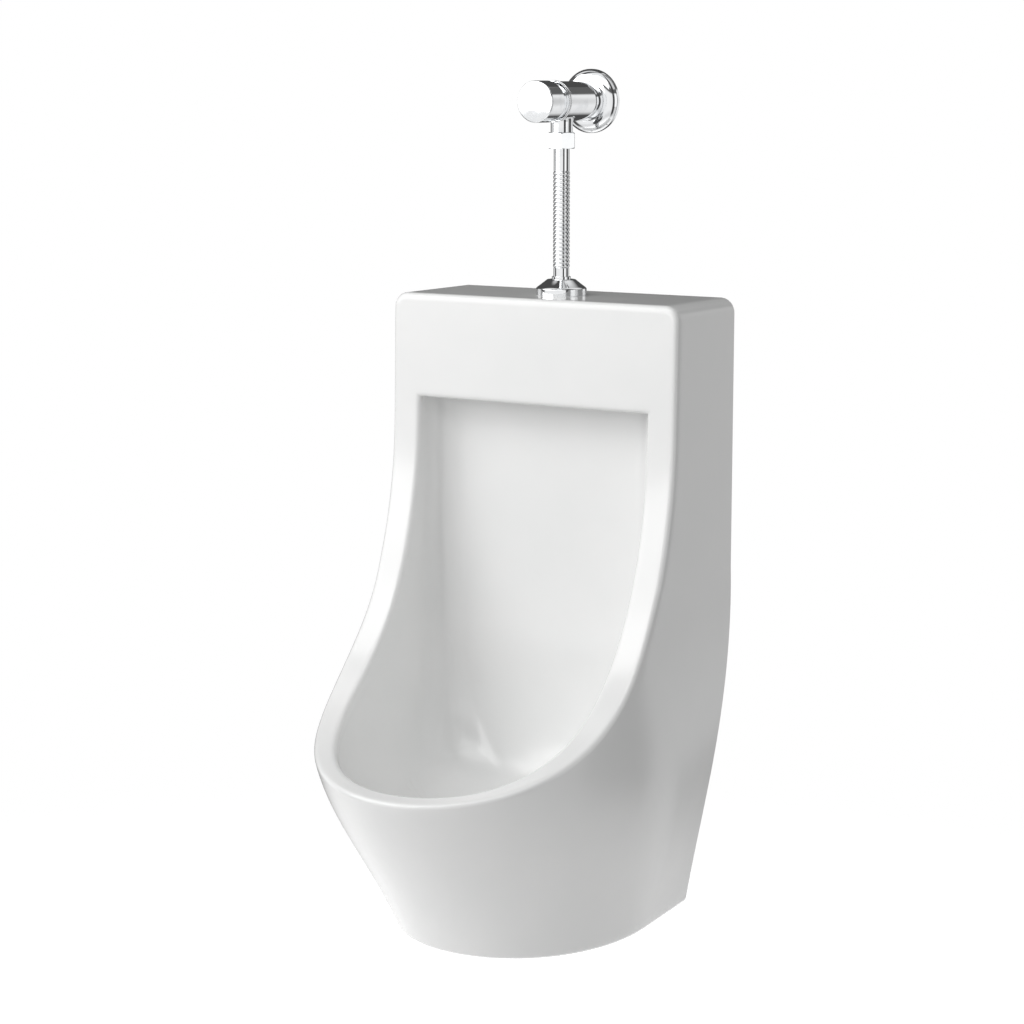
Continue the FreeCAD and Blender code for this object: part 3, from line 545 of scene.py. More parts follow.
def makeChinaHalf(bm):
    c, topZ, slotZ = china, china["top"], china["slot"]
    tTop = 0 - (topZ - c["corner"] - c["rimCurve"][0][1]) / (topZ - c["rimCurve"][0][1])
    tSlot = 0 - (slotZ - c["rimCurve"][0][1]) / (topZ - c["rimCurve"][0][1])
    side = c["rimSteps"]
    outerT = stepsAlong(lambda t: outerRim(t)[0], side, tTop, 1.0)
    low, high = 0.5, 1.0
    for step in range(40):    # where the mouth's edge reaches the middle of the nose
        middle = (low + high) / 2
        y, z = frontDepth(middle)
        low, high = (middle, high) if bowlPoint(1.0, z)[1] < y else (low, middle)
    innerT = stepsAlong(lambda t: innerRim(t)[0], side + c["cornerSteps"], tSlot, low - 1e-6)
    outerPoints = [outerRim(t) for t in outerT]
    innerPoints = [innerRim(t) for t in innerT]

    # the front: from its outer edge to the mouth's edge
    centre, half = c["wallHalf"][-1] - c["corner"], bowl["half"][-1]
    depth = lambda z: frontDepth(-(z - c["rimCurve"][0][1]) / (topZ - c["rimCurve"][0][1]))[0]
    edge, mouth = [], []
    for i in range(c["topSteps"]):
        x = centre * i / c["topSteps"]
        edge.append(Vector((x, depth(topZ), topZ)))
        mouth.append(Vector((half * i / c["topSteps"], depth(slotZ), slotZ)))
    for i in range(c["cornerSteps"]):
        angle = math.pi / 2 * i / c["cornerSteps"]
        z = topZ - c["corner"] * (1 - math.cos(angle))
        edge.append(Vector((centre + c["corner"] * math.sin(angle), depth(z), z)))
    edge += [Vector(point) for point, p in outerPoints]
    mouth += [Vector(point) for point, q in innerPoints]
    mouth[-1].x = edge[-1].x = 0.0
    inset, count = c["frontInset"], len(edge)
    turn = c["topSteps"]

    def flat(point):
        # the front unrolled: x and the run down the curve
        return Vector((point.x, unrolled(point.z)))

    curveRun = [0.0]
    curveAt = [frontDepth(i / 400) for i in range(401)]
    for a, b in zip(curveAt, curveAt[1:]):
        curveRun.append(curveRun[-1] + math.dist(a, b))

    def unrolled(z):
        if z >= c["rimCurve"][0][1]:
            return c["rimCurve"][0][1] - z
        low, high = 0, 400
        while high - low > 1:
            middle = (low + high) // 2
            low, high = (middle, high) if curveAt[middle][1] > z else (low, middle)
        share = (curveAt[low][1] - z) / (curveAt[low][1] - curveAt[high][1])
        return curveRun[low] + (curveRun[high] - curveRun[low]) * min(max(share, 0), 1)

    def rolled(x, run):
        if run <= 0:
            z = c["rimCurve"][0][1] - run
            return Vector((x, depth(z), z))
        low, high = 0, 400
        while high - low > 1:
            middle = (low + high) // 2
            low, high = (middle, high) if curveRun[middle] < run else (low, middle)
        share = (run - curveRun[low]) / (curveRun[high] - curveRun[low])
        y = curveAt[low][0] + (curveAt[high][0] - curveAt[low][0]) * share
        z = curveAt[low][1] + (curveAt[high][1] - curveAt[low][1]) * share
        return Vector((x, y, z))

    flatEdge, flatMouth = [flat(p) for p in edge], [flat(p) for p in mouth]
    nearEdge, nearMouth = [], []
    for i in range(count):
        out = squareTo(flatEdge, i)
        if i == 0 or i == count - 1:
            out = Vector((0, 1 if i == 0 else -1))
        nearEdge.append(flatEdge[i] + out * inset)
        if i < turn:
            grown = Vector((flatMouth[i].x * (half + inset) / half, flatMouth[i].y - inset))
        elif i == turn:
            grown = flatMouth[i] + Vector((inset, -inset))
        else:
            out = squareTo(flatMouth, i) if i < count - 1 else Vector((0, -1))
            grown = flatMouth[i] - out * inset
            grown.y -= inset * max(0.0, 1 - (i - turn) / 6)
        nearMouth.append(grown)
    rows = [edge, [rolled(p.x, p.y) for p in nearEdge]]
    between = c["frontRows"]
    for k in range(1, between):
        rows.append([rolled(*(a.lerp(b, k / between))) for a, b in zip(nearEdge, nearMouth)])
    rows += [[rolled(p.x, p.y) for p in nearMouth], mouth]
    fillGrid(bm, rows)

    # the outside: from the front's edge back to the wall and down to the foot
    perimeter = c["perimeter"]
    ownEdge = [Vector((p * perimeter, point[2])) for point, p in outerPoints]
    knee = next(i for i, point in enumerate(ownEdge) if point.y < c["kneeHeight"])
    squares = []
    for i, start in enumerate(ownEdge):
        into = squareTo(ownEdge, i) if 0 < i < side else Vector((0, -1)) if i else Vector((-1, 0))
        squares.append(-into if into.x > 0 or into.y > 0.5 else into)
    smoothInto = []
    for i in range(side + 1):
        spread = min(8, i, side - i)
        smoothInto.append(sum((squares[k] for k in range(i - spread, i + spread + 1)), Vector((0, 0))).normalized())
    lines = []
    for i in range(turn + c["cornerSteps"]):
        front = edge[i]
        steps = bentLine(Vector((front.y, 0)), Vector((1, 0)), 40, Vector((0, 0)), c["skinRows"], 10 / 80)
        lines.append([Vector((front.x, s.x, front.z)) for s in steps])
    for i, start in enumerate(ownEdge):
        if i <= knee:
            end = Vector((0, (topZ - c["corner"]) * (1 - i / knee)))
        else:
            end = Vector((perimeter * (i - knee) / (side - knee), 0))
        into = smoothInto[i]
        reach = min(70, 0.4 * (end - start).length)
        steps = bentLine(start, into, reach, end, c["skinRows"], 10 / (2 * reach))
        line = []
        for s in steps:
            p, z = min(max(s.x / perimeter, 0), 1), min(max(s.y, 0), topZ)
            x, y = skinPoint(p, z)
            line.append(Vector((x, y, z)))
        line[0] = edge[turn + c["cornerSteps"] + i]
        if i == side:
            for point in line:
                point.x = 0.0
        lines.append(line)
    fillGrid(bm, lines)
    foot = [line[-1] for line in lines[turn + c["cornerSteps"] + knee:]]
    ring = []
    for i, point in enumerate(foot):
        x, y = skinPoint(i / (len(foot) - 1), 0, inset=c["wall"])
        ring.append(Vector((x if i < len(foot) - 1 else 0.0, y, 0)))
    fillGrid(bm, [foot, ring])

    # the bowl: from the mouth's edge and the top of the recess down to the drain
    rise = slotZ - bowl["levels"][0]
    ownMouth = [Vector((q * perimeter, point[2] - bowl["levels"][0])) for point, q in innerPoints]
    cornerShare, last = ownMouth[0].x, len(ownMouth) - 1
    knee = next(i for i, point in enumerate(ownMouth) if point.y < bowl["kneeRise"])

    def spine(i):
        # points inside the bowl's skin that its lines lean towards
        if i <= 0:
            return Vector((bowl["spineHalf"] * (1 + i / turn), bowl["spineTop"]))
        if i <= knee:
            return Vector((bowl["spineHalf"], bowl["spineTop"])).lerp(Vector(bowl["spineKnee"]), i / knee)
        return Vector(bowl["spineKnee"]).lerp(Vector((perimeter, 0)), (i - knee) / (last - knee))

    lines = []
    for i in range(-turn, last + 1):
        if i < 0:
            start = Vector((cornerShare * (1 + i / turn), rise))
            share = bowl["backShare"] * (1 + i / turn)
        else:
            start = ownMouth[i]
            share = bowl["backShare"] + (1 - bowl["backShare"]) * i / last
        end = Vector((perimeter * share, -bowl["floorRun"]))
        lean = spine(i) - start
        reach = 0.5 * lean.length
        steps = bentLine(start, lean.normalized(), reach, end, c["bowlRows"], 7 / reach)
        line = [bowlSkin(min(max(s.x / perimeter, 0), 1), min(s.y, rise)) for s in steps]
        if i >= 0:
            line[0] = mouth[turn + i]
        if i in (-turn, last):
            for point in line:
                point.x = 0.0
        lines.append(line)
    fillGrid(bm, lines)

    # a strip of the recess's ceiling behind the slot's edge
    strip = [Vector((p.x, -c["ceilingStrip"], slotZ)) for p in mouth[:turn + 1]]
    fillGrid(bm, [mouth[:turn + 1], strip])


def makeChina():
    # the smooth skin, rounded at its rims
    bm = bmesh.new()
    makeChinaHalf(bm)
    bmesh.ops.remove_doubles(bm, verts=bm.verts, dist=0.02)
    bmesh.ops.mirror(bm, geom=bm.verts[:] + bm.edges[:] + bm.faces[:], axis="X", merge_dist=0.02)
    bmesh.ops.remove_doubles(bm, verts=bm.verts, dist=0.02)
    bmesh.ops.dissolve_degenerate(bm, dist=0.01, edges=bm.edges)
    bmesh.ops.recalc_face_normals(bm, faces=bm.faces)
    hidden = sum(face.normal.y * face.calc_area() for face in bm.faces if abs(face.calc_center_median().z - 600) < 30)
    if hidden > 0:
        bmesh.ops.reverse_faces(bm, faces=bm.faces)
    sharp = [edge for edge in bm.edges if len(edge.link_faces) == 2 and edge.calc_face_angle() > 0.9]
    bmesh.ops.bevel(bm, geom=sharp, offset=china["edgeRadius"], offset_type="OFFSET", segments=china["edgeSteps"],
                    profile=0.5, material=-1, affect="EDGES", clamp_overlap=False, loop_slide=True)
    print("china skin:", len(bm.faces), "faces,", len(sharp), "rim edges rounded")
    return bm


def facesAt(bm, level):
    # the level faces at a height, with their edges and vertices
    faces = [face for face in bm.faces if abs(face.calc_center_median().z - level) < 0.1 and abs(face.normal.z) > 0.99]
    return list({item for face in faces for item in (*face.verts, *face.edges, face)})


def makeChinaRest(skin):
    # the hollows, the wall side and the holes, from a merged copy of the CAD china without what the skin covers
    bm = bmesh.new()
    bm.from_mesh(nodes["ceramic_body"].data)
    bmesh.ops.scale(bm, vec=(1000, 1000, 1000), verts=bm.verts)
    bmesh.ops.remove_doubles(bm, verts=bm.verts, dist=0.01)
    bm.normal_update()
    tree = BVHTree.FromBMesh(skin)
    top, slot = china["top"], china["slot"]
    covered = []
    for face in bm.faces:
        middle = face.calc_center_median()
        flatTop = face.normal.z > 0.99 and middle.z > top - 0.1
        flatCeiling = face.normal.z < -0.99 and abs(middle.z - slot) < 0.1
        if flatTop or flatCeiling or face.normal.y > 0.99 and middle.y > -0.1:
            continue
        near = [tree.find_nearest(vert.co) for vert in face.verts]
        place, normal, index, far = tree.find_nearest(middle)
        if max(hit[3] for hit in near) < 3.2 and far < 9 and normal.dot(face.normal) > 0.3:
            covered.append(face)
    bmesh.ops.delete(bm, geom=covered, context="FACES")
    keepHalf = (china["wallHalf"][-1] - china["corner"]) * 10 / china["topSteps"]
    for level, cuts in ((top, ((1, keepHalf), (-1, keepHalf), (0, china["topDepth"] - 10))), (slot, ((0, china["ceilingStrip"]),))):
        bmesh.ops.split(bm, geom=facesAt(bm, level))    # cut loose, so that clearing it takes no neighbour along
        bm.normal_update()
        for side, far in cuts:
            place, away = ((side * far, 0, 0), (side, 0, 0)) if side else ((0, -far, 0), (0, -1, 0))
            bmesh.ops.bisect_plane(bm, geom=facesAt(bm, level), dist=0.001, plane_co=place, plane_no=away, clear_outer=True)
    bmesh.ops.remove_doubles(bm, verts=bm.verts, dist=0.01)
    bmesh.ops.dissolve_limit(bm, angle_limit=math.radians(0.5), verts=bm.verts, edges=bm.edges)
    for vert in bm.verts:    # the foot's two corners at the wall stay inside the skin's rounding
        if vert.co.y > -0.5 and vert.co.z < 0.5 and abs(vert.co.x) > 116:
            vert.co.x -= math.copysign(china["edgeRadius"] * 0.4, vert.co.x)
            vert.co.z += china["edgeRadius"] * 0.4
    print("china rest:", len(bm.faces), "faces,", len(covered), "covered by the skin")
    return bm


def buildChina():
    skin = makeChina()
    rest = makeChinaRest(skin)
    keepHalf = (china["wallHalf"][-1] - china["corner"]) * 10 / china["topSteps"]
    opened = []
    for face in skin.faces:
        middle = face.calc_center_median()
        if middle.z > china["top"] - 0.05 and abs(middle.x) < keepHalf and middle.y > -(china["topDepth"] - 10.2):
            opened.append(face)
    bmesh.ops.delete(skin, geom=opened, context="FACES")
    skinMesh, restMesh = bpy.data.meshes.new("chinaSkin"), bpy.data.meshes.new("chinaRest")
    for bm, mesh in ((skin, skinMesh), (rest, restMesh)):
        bmesh.ops.scale(bm, vec=(0.001, 0.001, 0.001), verts=bm.verts)
        bm.to_mesh(mesh)
        bm.free()
        mesh.shade_smooth()
    restMesh.set_sharp_from_angle(angle=math.radians(32))
    for face in restMesh.polygons:    # the large flat walls stay flat beside the curved ones
        face.use_smooth = face.area * 1e6 < china["flatArea"]
    return skinMesh, restMesh


def finishPiece(name, mesh, node, body):
    # a new piece that stands for a CAD node, with that node's finish
    piece = bpy.data.objects.new(name, mesh)
    bpy.context.scene.collection.objects.link(piece)
    mesh.materials.append(finishes[slotOf[node]])
    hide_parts(node)
    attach(piece, body)
    return piece


skinMesh, restMesh = buildChina()
finishPiece("china_skin", skinMesh, "ceramic_body", "urinal")
finishPiece("china_back", restMesh, "ceramic_body", "urinal")
restMesh.materials.append(makeBiscuit())
for face in restMesh.polygons:    # only the wall side and the hollows are unglazed
    x, y, z = face.center * 1000
    glazed = z > china["top"] - 1 or abs(z - china["slot"]) < 8 or math.hypot(x, y - bowl["drain"][1]) < 38 and z < 130
    face.material_index = 0 if glazed else 1


# ---------------------------------------------------------------- turned pieces: outlines are (radius, height) in millimetres
def middleOf(node):
    low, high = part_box(node)
    return [(a + b) * 500 for a, b in zip(low, high)]


valveHeight, pipeBack, trapBack = middleOf("button_cap")[2], middleOf("flush_pipe")[1], middleOf("trap_cup")[1]
portHeight = middleOf("outlet_pipe")[2]
places = {
    "valve": Matrix.Translation((0, 0, valveHeight)) @ Matrix.Rotation(math.radians(90), 4, "X"),
    "pipe": Matrix.Translation((0, pipeBack, valveHeight)),
    "trap": Matrix.Translation((0, trapBack, 0)),
    "port": Matrix.Translation((0, trapBack, portHeight)) @ Matrix.Rotation(math.radians(-90), 4, "X"),
}


def bow(start, middle, end, steps=8):
    # points of a bend from start to end that passes the middle
    pull = [2 * m - (a + b) / 2 for a, m, b in zip(start, middle, end)]
    shares = [i / steps for i in range(steps + 1)]
    return [tuple(a * (1 - s) ** 2 + p * 2 * s * (1 - s) + b * s * s for a, p, b in zip(start, pull, end)) for s in shares]


def turn(bm, outline, segments, flats):
    points = [bm.verts.new((radius, 0, height)) for radius, height in outline]
    edges = []
    for a, b in zip(points, points[1:] + points[:1]):
        if max(a.co.x, b.co.x) > 0.01:
            edges.append(bm.edges.new((a, b)))
    made = bmesh.ops.spin(bm, geom=points + edges, cent=(0, 0, 0), axis=(0, 0, 1), dvec=(0, 0, 0), angle=math.tau,
                          steps=segments, use_merge=True, use_normal_flip=False, use_duplicate=False)
    if flats:    # a hexagon with its corners cut by a cone at both ends
        low, high = min(h for r, h in outline), max(h for r, h in outline)
        for vert in bm.verts:
            if math.hypot(vert.co.x, vert.co.y) > flats / 2 + 0.01:
                angle = math.atan2(vert.co.y, vert.co.x)
                off = (math.degrees(angle) % 60) - 30
                reach = flats / 2 / math.cos(math.radians(off))
                drop = (reach - flats / 2) * math.tan(math.radians(30)) + 0.05
                z = low + drop if vert.co.z < (low + high) / 2 else high - drop
                vert.co = (reach * math.cos(angle), reach * math.sin(angle), z)
    return made


def turnedPiece(name, node, body, parts, edge=0.35, segments=96, flats=None):
    # each part is (place, outline); a piece can have more than one, such as a barrel and its neck
    bm = bmesh.new()
    for place, outline in parts:
        own = bmesh.new()
        turn(own, outline, segments, flats)
        bmesh.ops.remove_doubles(own, verts=own.verts, dist=0.005)
        bmesh.ops.recalc_face_normals(own, faces=own.faces)
        sharp = [line for line in own.edges if len(line.link_faces) == 2 and line.calc_face_angle() > 0.45]
        if edge:
            bmesh.ops.bevel(own, geom=sharp, offset=edge, offset_type="OFFSET", segments=3, profile=0.5, material=-1,
                            affect="EDGES", clamp_overlap=True)
        own.transform(Matrix.Scale(0.001, 4) @ places[place])
        spare = bpy.data.meshes.new("spare")
        own.to_mesh(spare)
        own.free()
        bm.from_mesh(spare)
        bpy.data.meshes.remove(spare)
    mesh = bpy.data.meshes.new(name)
    bm.to_mesh(mesh)
    bm.free()
    mesh.shade_smooth()
    mesh.set_sharp_from_angle(angle=math.radians(40))
    piece = finishPiece(name, mesh, node, body)
    even = piece.modifiers.new("evenShading", "WEIGHTED_NORMAL")    # keeps long faces true beside their rounded edges
    even.keep_sharp = True
    return piece


def nutOutline(flats, low, high, bore, lip, depth, lipBelow=False):
    corner, drop = flats / math.sqrt(3), (flats / math.sqrt(3) - flats / 2) * math.tan(math.radians(30))
    outside = [(flats / 2, low), (corner, low + drop), (corner, high - drop), (flats / 2, high)]
    if lipBelow:
        return [(lip, low), *outside, (bore, high), (bore, low + depth), (lip, low + depth)]
    return [(bore, low), *outside, (lip, high), (lip, high - depth), (bore, high - depth)]


rosette = {"inner": 20.3, "radius": 32.5, "rim": 4.5, "wall": 1.2, "height": 12}
barrel = {"radius": 20, "lip": 21, "back": 8, "front": 76, "neckRadius": 11.2, "neckFlare": 13.6}
button = {"radius": 20.7, "back": 88, "front": 110.4, "crown": 112.6}
bellows = {"radius": 8, "bore": 6.8, "crest": 8.5, "valley": 7.35, "top": -69.5, "length": 98, "ribs": 24, "stepsPerRib": 8, "end": -211}
coil = {"radius": 9.3, "wire": 0.6, "back": 80.9, "front": 109.1, "turns": 8, "stepsPerTurn": 40, "keep": 0.733}


def makeRosette():
    r = rosette
    dome = bow((r["inner"], r["height"]), (27.9, 9.8), (r["radius"], r["rim"]), 14)
    inside = bow((r["radius"] - r["wall"], r["rim"] - 0.3), (27.3, 8.4), (r["inner"], r["height"] - r["wall"]), 8)
    outline = [*dome, (r["radius"], 0), (r["radius"] - r["wall"], 0), *inside]
    return turnedPiece("wall_dome", "wall_rosette", "urinal", [("valve", outline)])


def makeBarrel():
    b = barrel
    body = [
        (7.5, -16), (9.8, -16), (10.48, -14.8), (10.48, 0), (13, 0), (13, b["back"]), (b["radius"], b["back"]),
        (b["radius"], b["front"] - 3), (b["lip"], b["front"] - 2), (b["lip"], b["front"]), (16.2, b["front"]),
        (16.2, 42), (14, 42), (14, 38), (12.5, 38), (12.5, 20), (7.5, 20),
    ]
    flare = bow((b["neckRadius"], -22), (11.9, -18), (b["neckFlare"], -15.6), 6)
    neck = [(7, -41), (10.2, -41), (10.2, -31), (b["neckRadius"], -31), *flare, (b["neckFlare"], -13), (7, -13)]
    return turnedPiece("valve_barrel", "valve_body", "urinal", [("valve", body), ("pipe", neck)], edge=0.5)


def makeButtonCap():
    b = button
    crown = bow((b["radius"], b["front"]), (20.26, 111.46), (19.2, 111.9), 6)
    outline = [
        (18.6, b["back"]), (20.2, b["back"]), (b["radius"], b["back"] + 0.6), *crown, (10, 112.4), (0, b["crown"]),
        (0, 108), (2.5, 108), (2.5, 104), (4.5, 104), (4.5, 110), (18.6, 110),
    ]
    return turnedPiece("push_button", "button_cap", "button", [("valve", outline)], edge=0.25)


def makeBonnet():
    outline = [
        (2.8, 66), (16, 66), (16, 76.8), (20.8, 76.8), (20.8, 79), (17.6, 79), (17.6, 92), (15, 92), (15, 80),
        (2.8, 80), (2.8, 72.1), (4.8, 72.1), (4.8, 69.9), (2.8, 69.9),
    ]
    return turnedPiece("valve_bonnet", "bonnet", "urinal", [("valve", outline)])


def makeBellowsPipe():
    # the ribs have round crests and narrow valleys
    b = bellows
    rows = [(b["bore"], -43), (10, -43), (10, -44.5), (b["radius"], -44.5), (b["radius"], b["top"])]
    pitch = b["length"] / b["ribs"]
    for step in range(b["ribs"] * b["stepsPerRib"] + 1):
        share = step / b["stepsPerRib"]
        swell = math.sin(math.pi * (share % 1)) ** 0.6
        rows.append((b["valley"] + (b["crest"] - b["valley"]) * swell, b["top"] - 0.4 - share * (pitch - 0.8 / b["ribs"])))
    rows += [(b["radius"], b["top"] - b["length"]), (b["radius"], b["end"]), (b["bore"], b["end"])]
    return turnedPiece("ribbed_pipe", "flush_pipe", "urinal", [("pipe", rows)], edge=0, segments=64)


def makePipeCover():
    slope = bow((14.5, -179), (19.8, -183.2), (24.6, -186.8), 8)
    outline = [
        (8.6, -176), (9.6, -176), (9.6, -179), *slope, (25.8, -188), (25.8, -195), (24.6, -195), (24.6, -188.4),
        (14, -180.2), (8.6, -180.2),
    ]
    return turnedPiece("pipe_cone", "pipe_flange", "pipe_cover", [("pipe", outline)], edge=0.3)


def makeNuts():
    union = nutOutline(26, -47, -31, 10.4, 8.3, 2, lipBelow=True)
    turnedPiece("pipe_nut", "union_nut", "urinal", [("pipe", union)], edge=0.25, segments=72, flats=26)
    lock = nutOutline(56, 95, 104, 20.3, 20.3, 4)
    turnedPiece("waste_nut", "waste_lock_nut", "urinal", [("trap", lock)], segments=72, flats=56)
    inlet = nutOutline(58, 76, 93, 24, 20.4, 4)
    turnedPiece("trap_top_nut", "trap_inlet_nut", "urinal", [("trap", inlet)], segments=72, flats=58)
    outlet = nutOutline(48, 49, 68, 20, 16.4, 4)
    turnedPiece("trap_side_nut", "trap_outlet_nut", "urinal", [("port", outlet)], segments=72, flats=48)


def makeTrap():
    shoulder = bow((40, 58), (38.2, 66), (32, 69.6), 8)
    bottle = [
        (37, 12), (40, 12), *shoulder, (23.7, 70), (23.7, 88), (20.6, 88), (20.6, 72), (17.3, 72), (17.3, 67),
        (31, 67), (37, 58),
    ]
    socket = [(16.5, 36), (19.6, 36), (19.6, 62), (16.5, 62)]
    turnedPiece("trap_bottle", "trap_body", "urinal", [("trap", bottle), ("port", socket)], edge=0.6)
    base = bow((37, 4), (42, 5.6), (44, 10), 6)
    cup = [(0, 4), *base, (44, 26), (40.3, 26), (40.3, 9), (36.5, 9), (36.5, 7), (0, 7)]
    turnedPiece("trap_bowl", "trap_cup", "urinal", [("trap", cup)], edge=0.6)
    pipe = [(14.4, 42), (16, 42), (16, 200), (15.75, 200), (15.75, 235), (14.4, 235)]
    turnedPiece("wall_pipe", "outlet_pipe", "urinal", [("port", pipe)])
    fitting = [(17, 74), (20, 74), (20, 116.5), (35, 116.5), (35, 118.6), (34, 119), (20, 119), (17, 116)]
    turnedPiece("waste_flange", "waste_fitting", "urinal", [("trap", fitting)], edge=0.2)


def makeSpring():
    # one unbroken wire: its round section is swept along the axis while it turns
    c = coil
    bm = bmesh.new()
    wire = bmesh.ops.create_circle(bm, cap_ends=False, segments=10, radius=c["wire"])["verts"]
    bmesh.ops.rotate(bm, verts=wire, cent=(0, 0, 0), matrix=Matrix.Rotation(math.radians(90), 3, "X"))
    bmesh.ops.translate(bm, verts=wire, vec=(c["radius"], 0, c["back"] + c["wire"]))
    steps = c["turns"] * c["stepsPerTurn"]
    climb = (c["front"] - c["back"] - 2 * c["wire"]) / steps
    bmesh.ops.spin(bm, geom=bm.verts[:] + bm.edges[:], cent=(0, 0, 0), axis=(0, 0, 1), dvec=(0, 0, climb),
                   angle=math.tau * c["turns"], steps=steps, use_merge=False, use_normal_flip=False, use_duplicate=False)
    bmesh.ops.holes_fill(bm, edges=[edge for edge in bm.edges if edge.is_boundary], sides=0)
    bmesh.ops.recalc_face_normals(bm, faces=bm.faces)
    bm.transform(Matrix.Scale(0.001, 4) @ places["valve"])
    mesh = bpy.data.meshes.new("spring_coil")
    bm.to_mesh(mesh)
    bm.free()
    mesh.shade_smooth()
    piece = finishPiece("spring_coil", mesh, "return_spring", "urinal")
    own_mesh(piece)


makeRosette()
makeBarrel()
makeBonnet()
makeButtonCap()
makeBellowsPipe()
makePipeCover()
makeNuts()
makeTrap()
makeSpring()
print("turned pieces made")


# ---------------------------------------------------------------- floor, lights and camera
def makeFloor():
    floor = {"height": -0.30, "radius": 3.2, "fadeStart": 0.5, "fadeEnd": 1.7, "colour": (0.90, 0.90, 0.90), "lift": 0.60}
    mesh = bpy.data.meshes.new("paleFloor")
    bm = bmesh.new()
    bmesh.ops.create_circle(bm, cap_ends=True, segments=96, radius=floor["radius"])
    bmesh.ops.translate(bm, vec=(0, -0.2, floor["height"]), verts=bm.verts)
    bm.to_mesh(mesh)
    bm.free()
    plane = bpy.data.objects.new("paleFloor", mesh)
    bpy.context.scene.collection.objects.link(plane)
    material, tree, shader = startMaterial("paleFloorPaint", {"Roughness": 0.9, "Specular IOR Level": 0.0})
    shader.inputs["Base Color"].default_value = (*floor["colour"], 1)
    shader.inputs["Emission Color"].default_value = (1, 1, 1, 1)
    rays = addNode(tree, "ShaderNodeLightPath")
    seen = addNode(tree, "ShaderNodeMath", operation="MAXIMUM")
    tree.links.new(rays.outputs["Is Camera Ray"], seen.inputs[0])
    tree.links.new(rays.outputs["Is Glossy Ray"], seen.inputs[1])
    tree.links.new(mapRange(tree, seen.outputs[0], 0.0, floor["lift"]), shader.inputs["Emission Strength"])
    coord = addNode(tree, "ShaderNodeTexCoord")
    centre = addNode(tree, "ShaderNodeVectorMath", operation="SUBTRACT")
    centre.inputs[1].default_value = (0, -0.2, floor["height"])
    tree.links.new(coord.outputs["Object"], centre.inputs[0])
    far = addNode(tree, "ShaderNodeVectorMath", operation="LENGTH")
    tree.links.new(centre.outputs[0], far.inputs[0])
    fade = addNode(tree, "ShaderNodeMapRange", {1: floor["fadeStart"], 2: floor["fadeEnd"], 3: 0.0, 4: 1.0}, interpolation_type="SMOOTHSTEP")
    tree.links.new(far.outputs["Value"], fade.inputs[0])
    clear = addNode(tree, "ShaderNodeBsdfTransparent")
    mix = addNode(tree, "ShaderNodeMixShader")
    tree.links.new(fade.outputs[0], mix.inputs[0])
    tree.links.new(shader.outputs[0], mix.inputs[1])
    tree.links.new(clear.outputs[0], mix.inputs[2])
    tree.links.new(mix.outputs[0], tree.nodes["Material Output"].inputs["Surface"])
    mesh.materials.append(material)


studio = {
    "soft": 0.36,
    # dark cards of the white studio, as shares of a turn round the object and of the way from floor to zenith
    "cardsAround": [
        (0.0, 0.85), (0.03, 0.85), (0.045, 0.08), (0.10, 0.08), (0.12, 0.92), (0.30, 0.95), (0.39, 0.9), (0.40, 0.06),
        (0.455, 0.06), (0.47, 0.75), (0.55, 0.6), (0.57, 0.08), (0.645, 0.08), (0.67, 0.9), (0.71, 0.8), (0.75, 0.07),
        (0.96, 0.07), (0.98, 0.85),
    ],
    "cardsUpward": [(0.0, 0.5), (0.28, 0.8), (0.36, 1.0), (0.64, 1.0), (0.68, 0.12), (0.76, 0.12), (0.80, 1.0)],
}


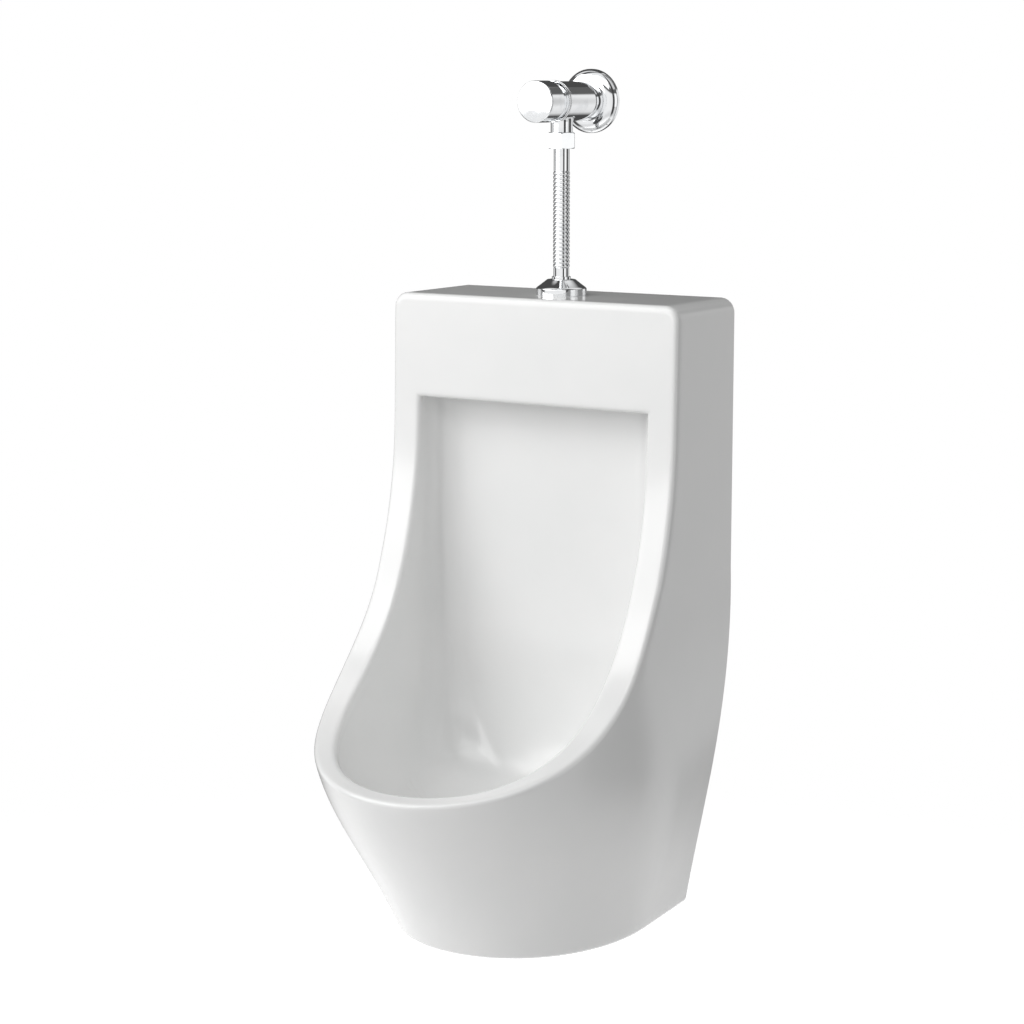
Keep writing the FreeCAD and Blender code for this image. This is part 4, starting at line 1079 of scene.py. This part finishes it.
def makeWorld():
    world = bpy.data.worlds.new("studio")
    bpy.context.scene.world = world
    world.use_nodes = True
    tree = world.node_tree
    background = tree.nodes["Background"]
    background.inputs["Color"].default_value = (1, 1, 1, 1)
    rays = addNode(tree, "ShaderNodeLightPath")
    seen = addNode(tree, "ShaderNodeMath", operation="MAXIMUM")
    tree.links.new(rays.outputs["Is Camera Ray"], seen.inputs[0])
    tree.links.new(rays.outputs["Is Transmission Ray"], seen.inputs[1])
    direction = addNode(tree, "ShaderNodeTexCoord").outputs["Generated"]
    around = addNode(tree, "ShaderNodeTexGradient", gradient_type="RADIAL")
    tree.links.new(direction, around.inputs["Vector"])
    parts = addNode(tree, "ShaderNodeSeparateXYZ")
    tree.links.new(direction, parts.inputs[0])
    upward = mapRange(tree, parts.outputs["Z"], 0.0, 1.0, -1.0, 1.0)
    cards = addNode(tree, "ShaderNodeMath", operation="MINIMUM")
    for socket, source, stops in ((0, around.outputs["Fac"], studio["cardsAround"]), (1, upward, studio["cardsUpward"])):
        ramp = addNode(tree, "ShaderNodeValToRGB")
        for i, (at, grey) in enumerate(stops):
            stop = ramp.color_ramp.elements[i] if i < 2 else ramp.color_ramp.elements.new(at)
            stop.position, stop.color = at, (grey, grey, grey, 1)
        tree.links.new(source, ramp.inputs[0])
        tree.links.new(ramp.outputs[0], cards.inputs[socket])
    mirrored = addNode(tree, "ShaderNodeMix", {2: studio["soft"]})    # what glossy surfaces see; diffuse ones see the soft level
    tree.links.new(rays.outputs["Is Glossy Ray"], mirrored.inputs[0])
    tree.links.new(cards.outputs[0], mirrored.inputs[3])
    level = addNode(tree, "ShaderNodeMix", {3: 1.0})
    tree.links.new(seen.outputs[0], level.inputs[0])
    tree.links.new(mirrored.outputs[0], level.inputs[2])
    tree.links.new(level.outputs[0], background.inputs["Strength"])


def addLamp(name, place, target, size, power):
    lamp = bpy.data.lights.new(name, "AREA")
    lamp.shape = "RECTANGLE"
    lamp.size, lamp.size_y = size
    lamp.energy = power
    holder = bpy.data.objects.new(name, lamp)
    bpy.context.scene.collection.objects.link(holder)
    holder.location = place
    holder.rotation_euler = (Vector(target) - Vector(place)).to_track_quat("-Z", "Y").to_euler()
    return holder


def makeCamera():
    view = {"place": (1.358, -2.292, 0.855), "target": (0.004, -0.160, 0.430), "lens": 90.0}
    camera = bpy.data.cameras.new("camera")
    camera.lens = view["lens"]
    holder = bpy.data.objects.new("camera", camera)
    bpy.context.scene.collection.objects.link(holder)
    holder.location = view["place"]
    holder.rotation_euler = (Vector(view["target"]) - Vector(view["place"])).to_track_quat("-Z", "Y").to_euler()
    bpy.context.scene.camera = holder


makeFloor()
makeWorld()
addLamp("keySoftbox", (-1.5, -2.2, 1.75), (0, -0.15, 0.4), (3.0, 2.6), 64)
addLamp("topSoftbox", (0.3, -1.5, 2.2), (0, -0.15, 0.4), (1.4, 1.2), 7)
addLamp("rightFill", (2.3, -0.3, 0.9), (0, -0.15, 0.4), (1.0, 1.6), 2)
makeCamera()
bpy.context.scene.view_settings.view_transform = "Standard"
print("stage set")
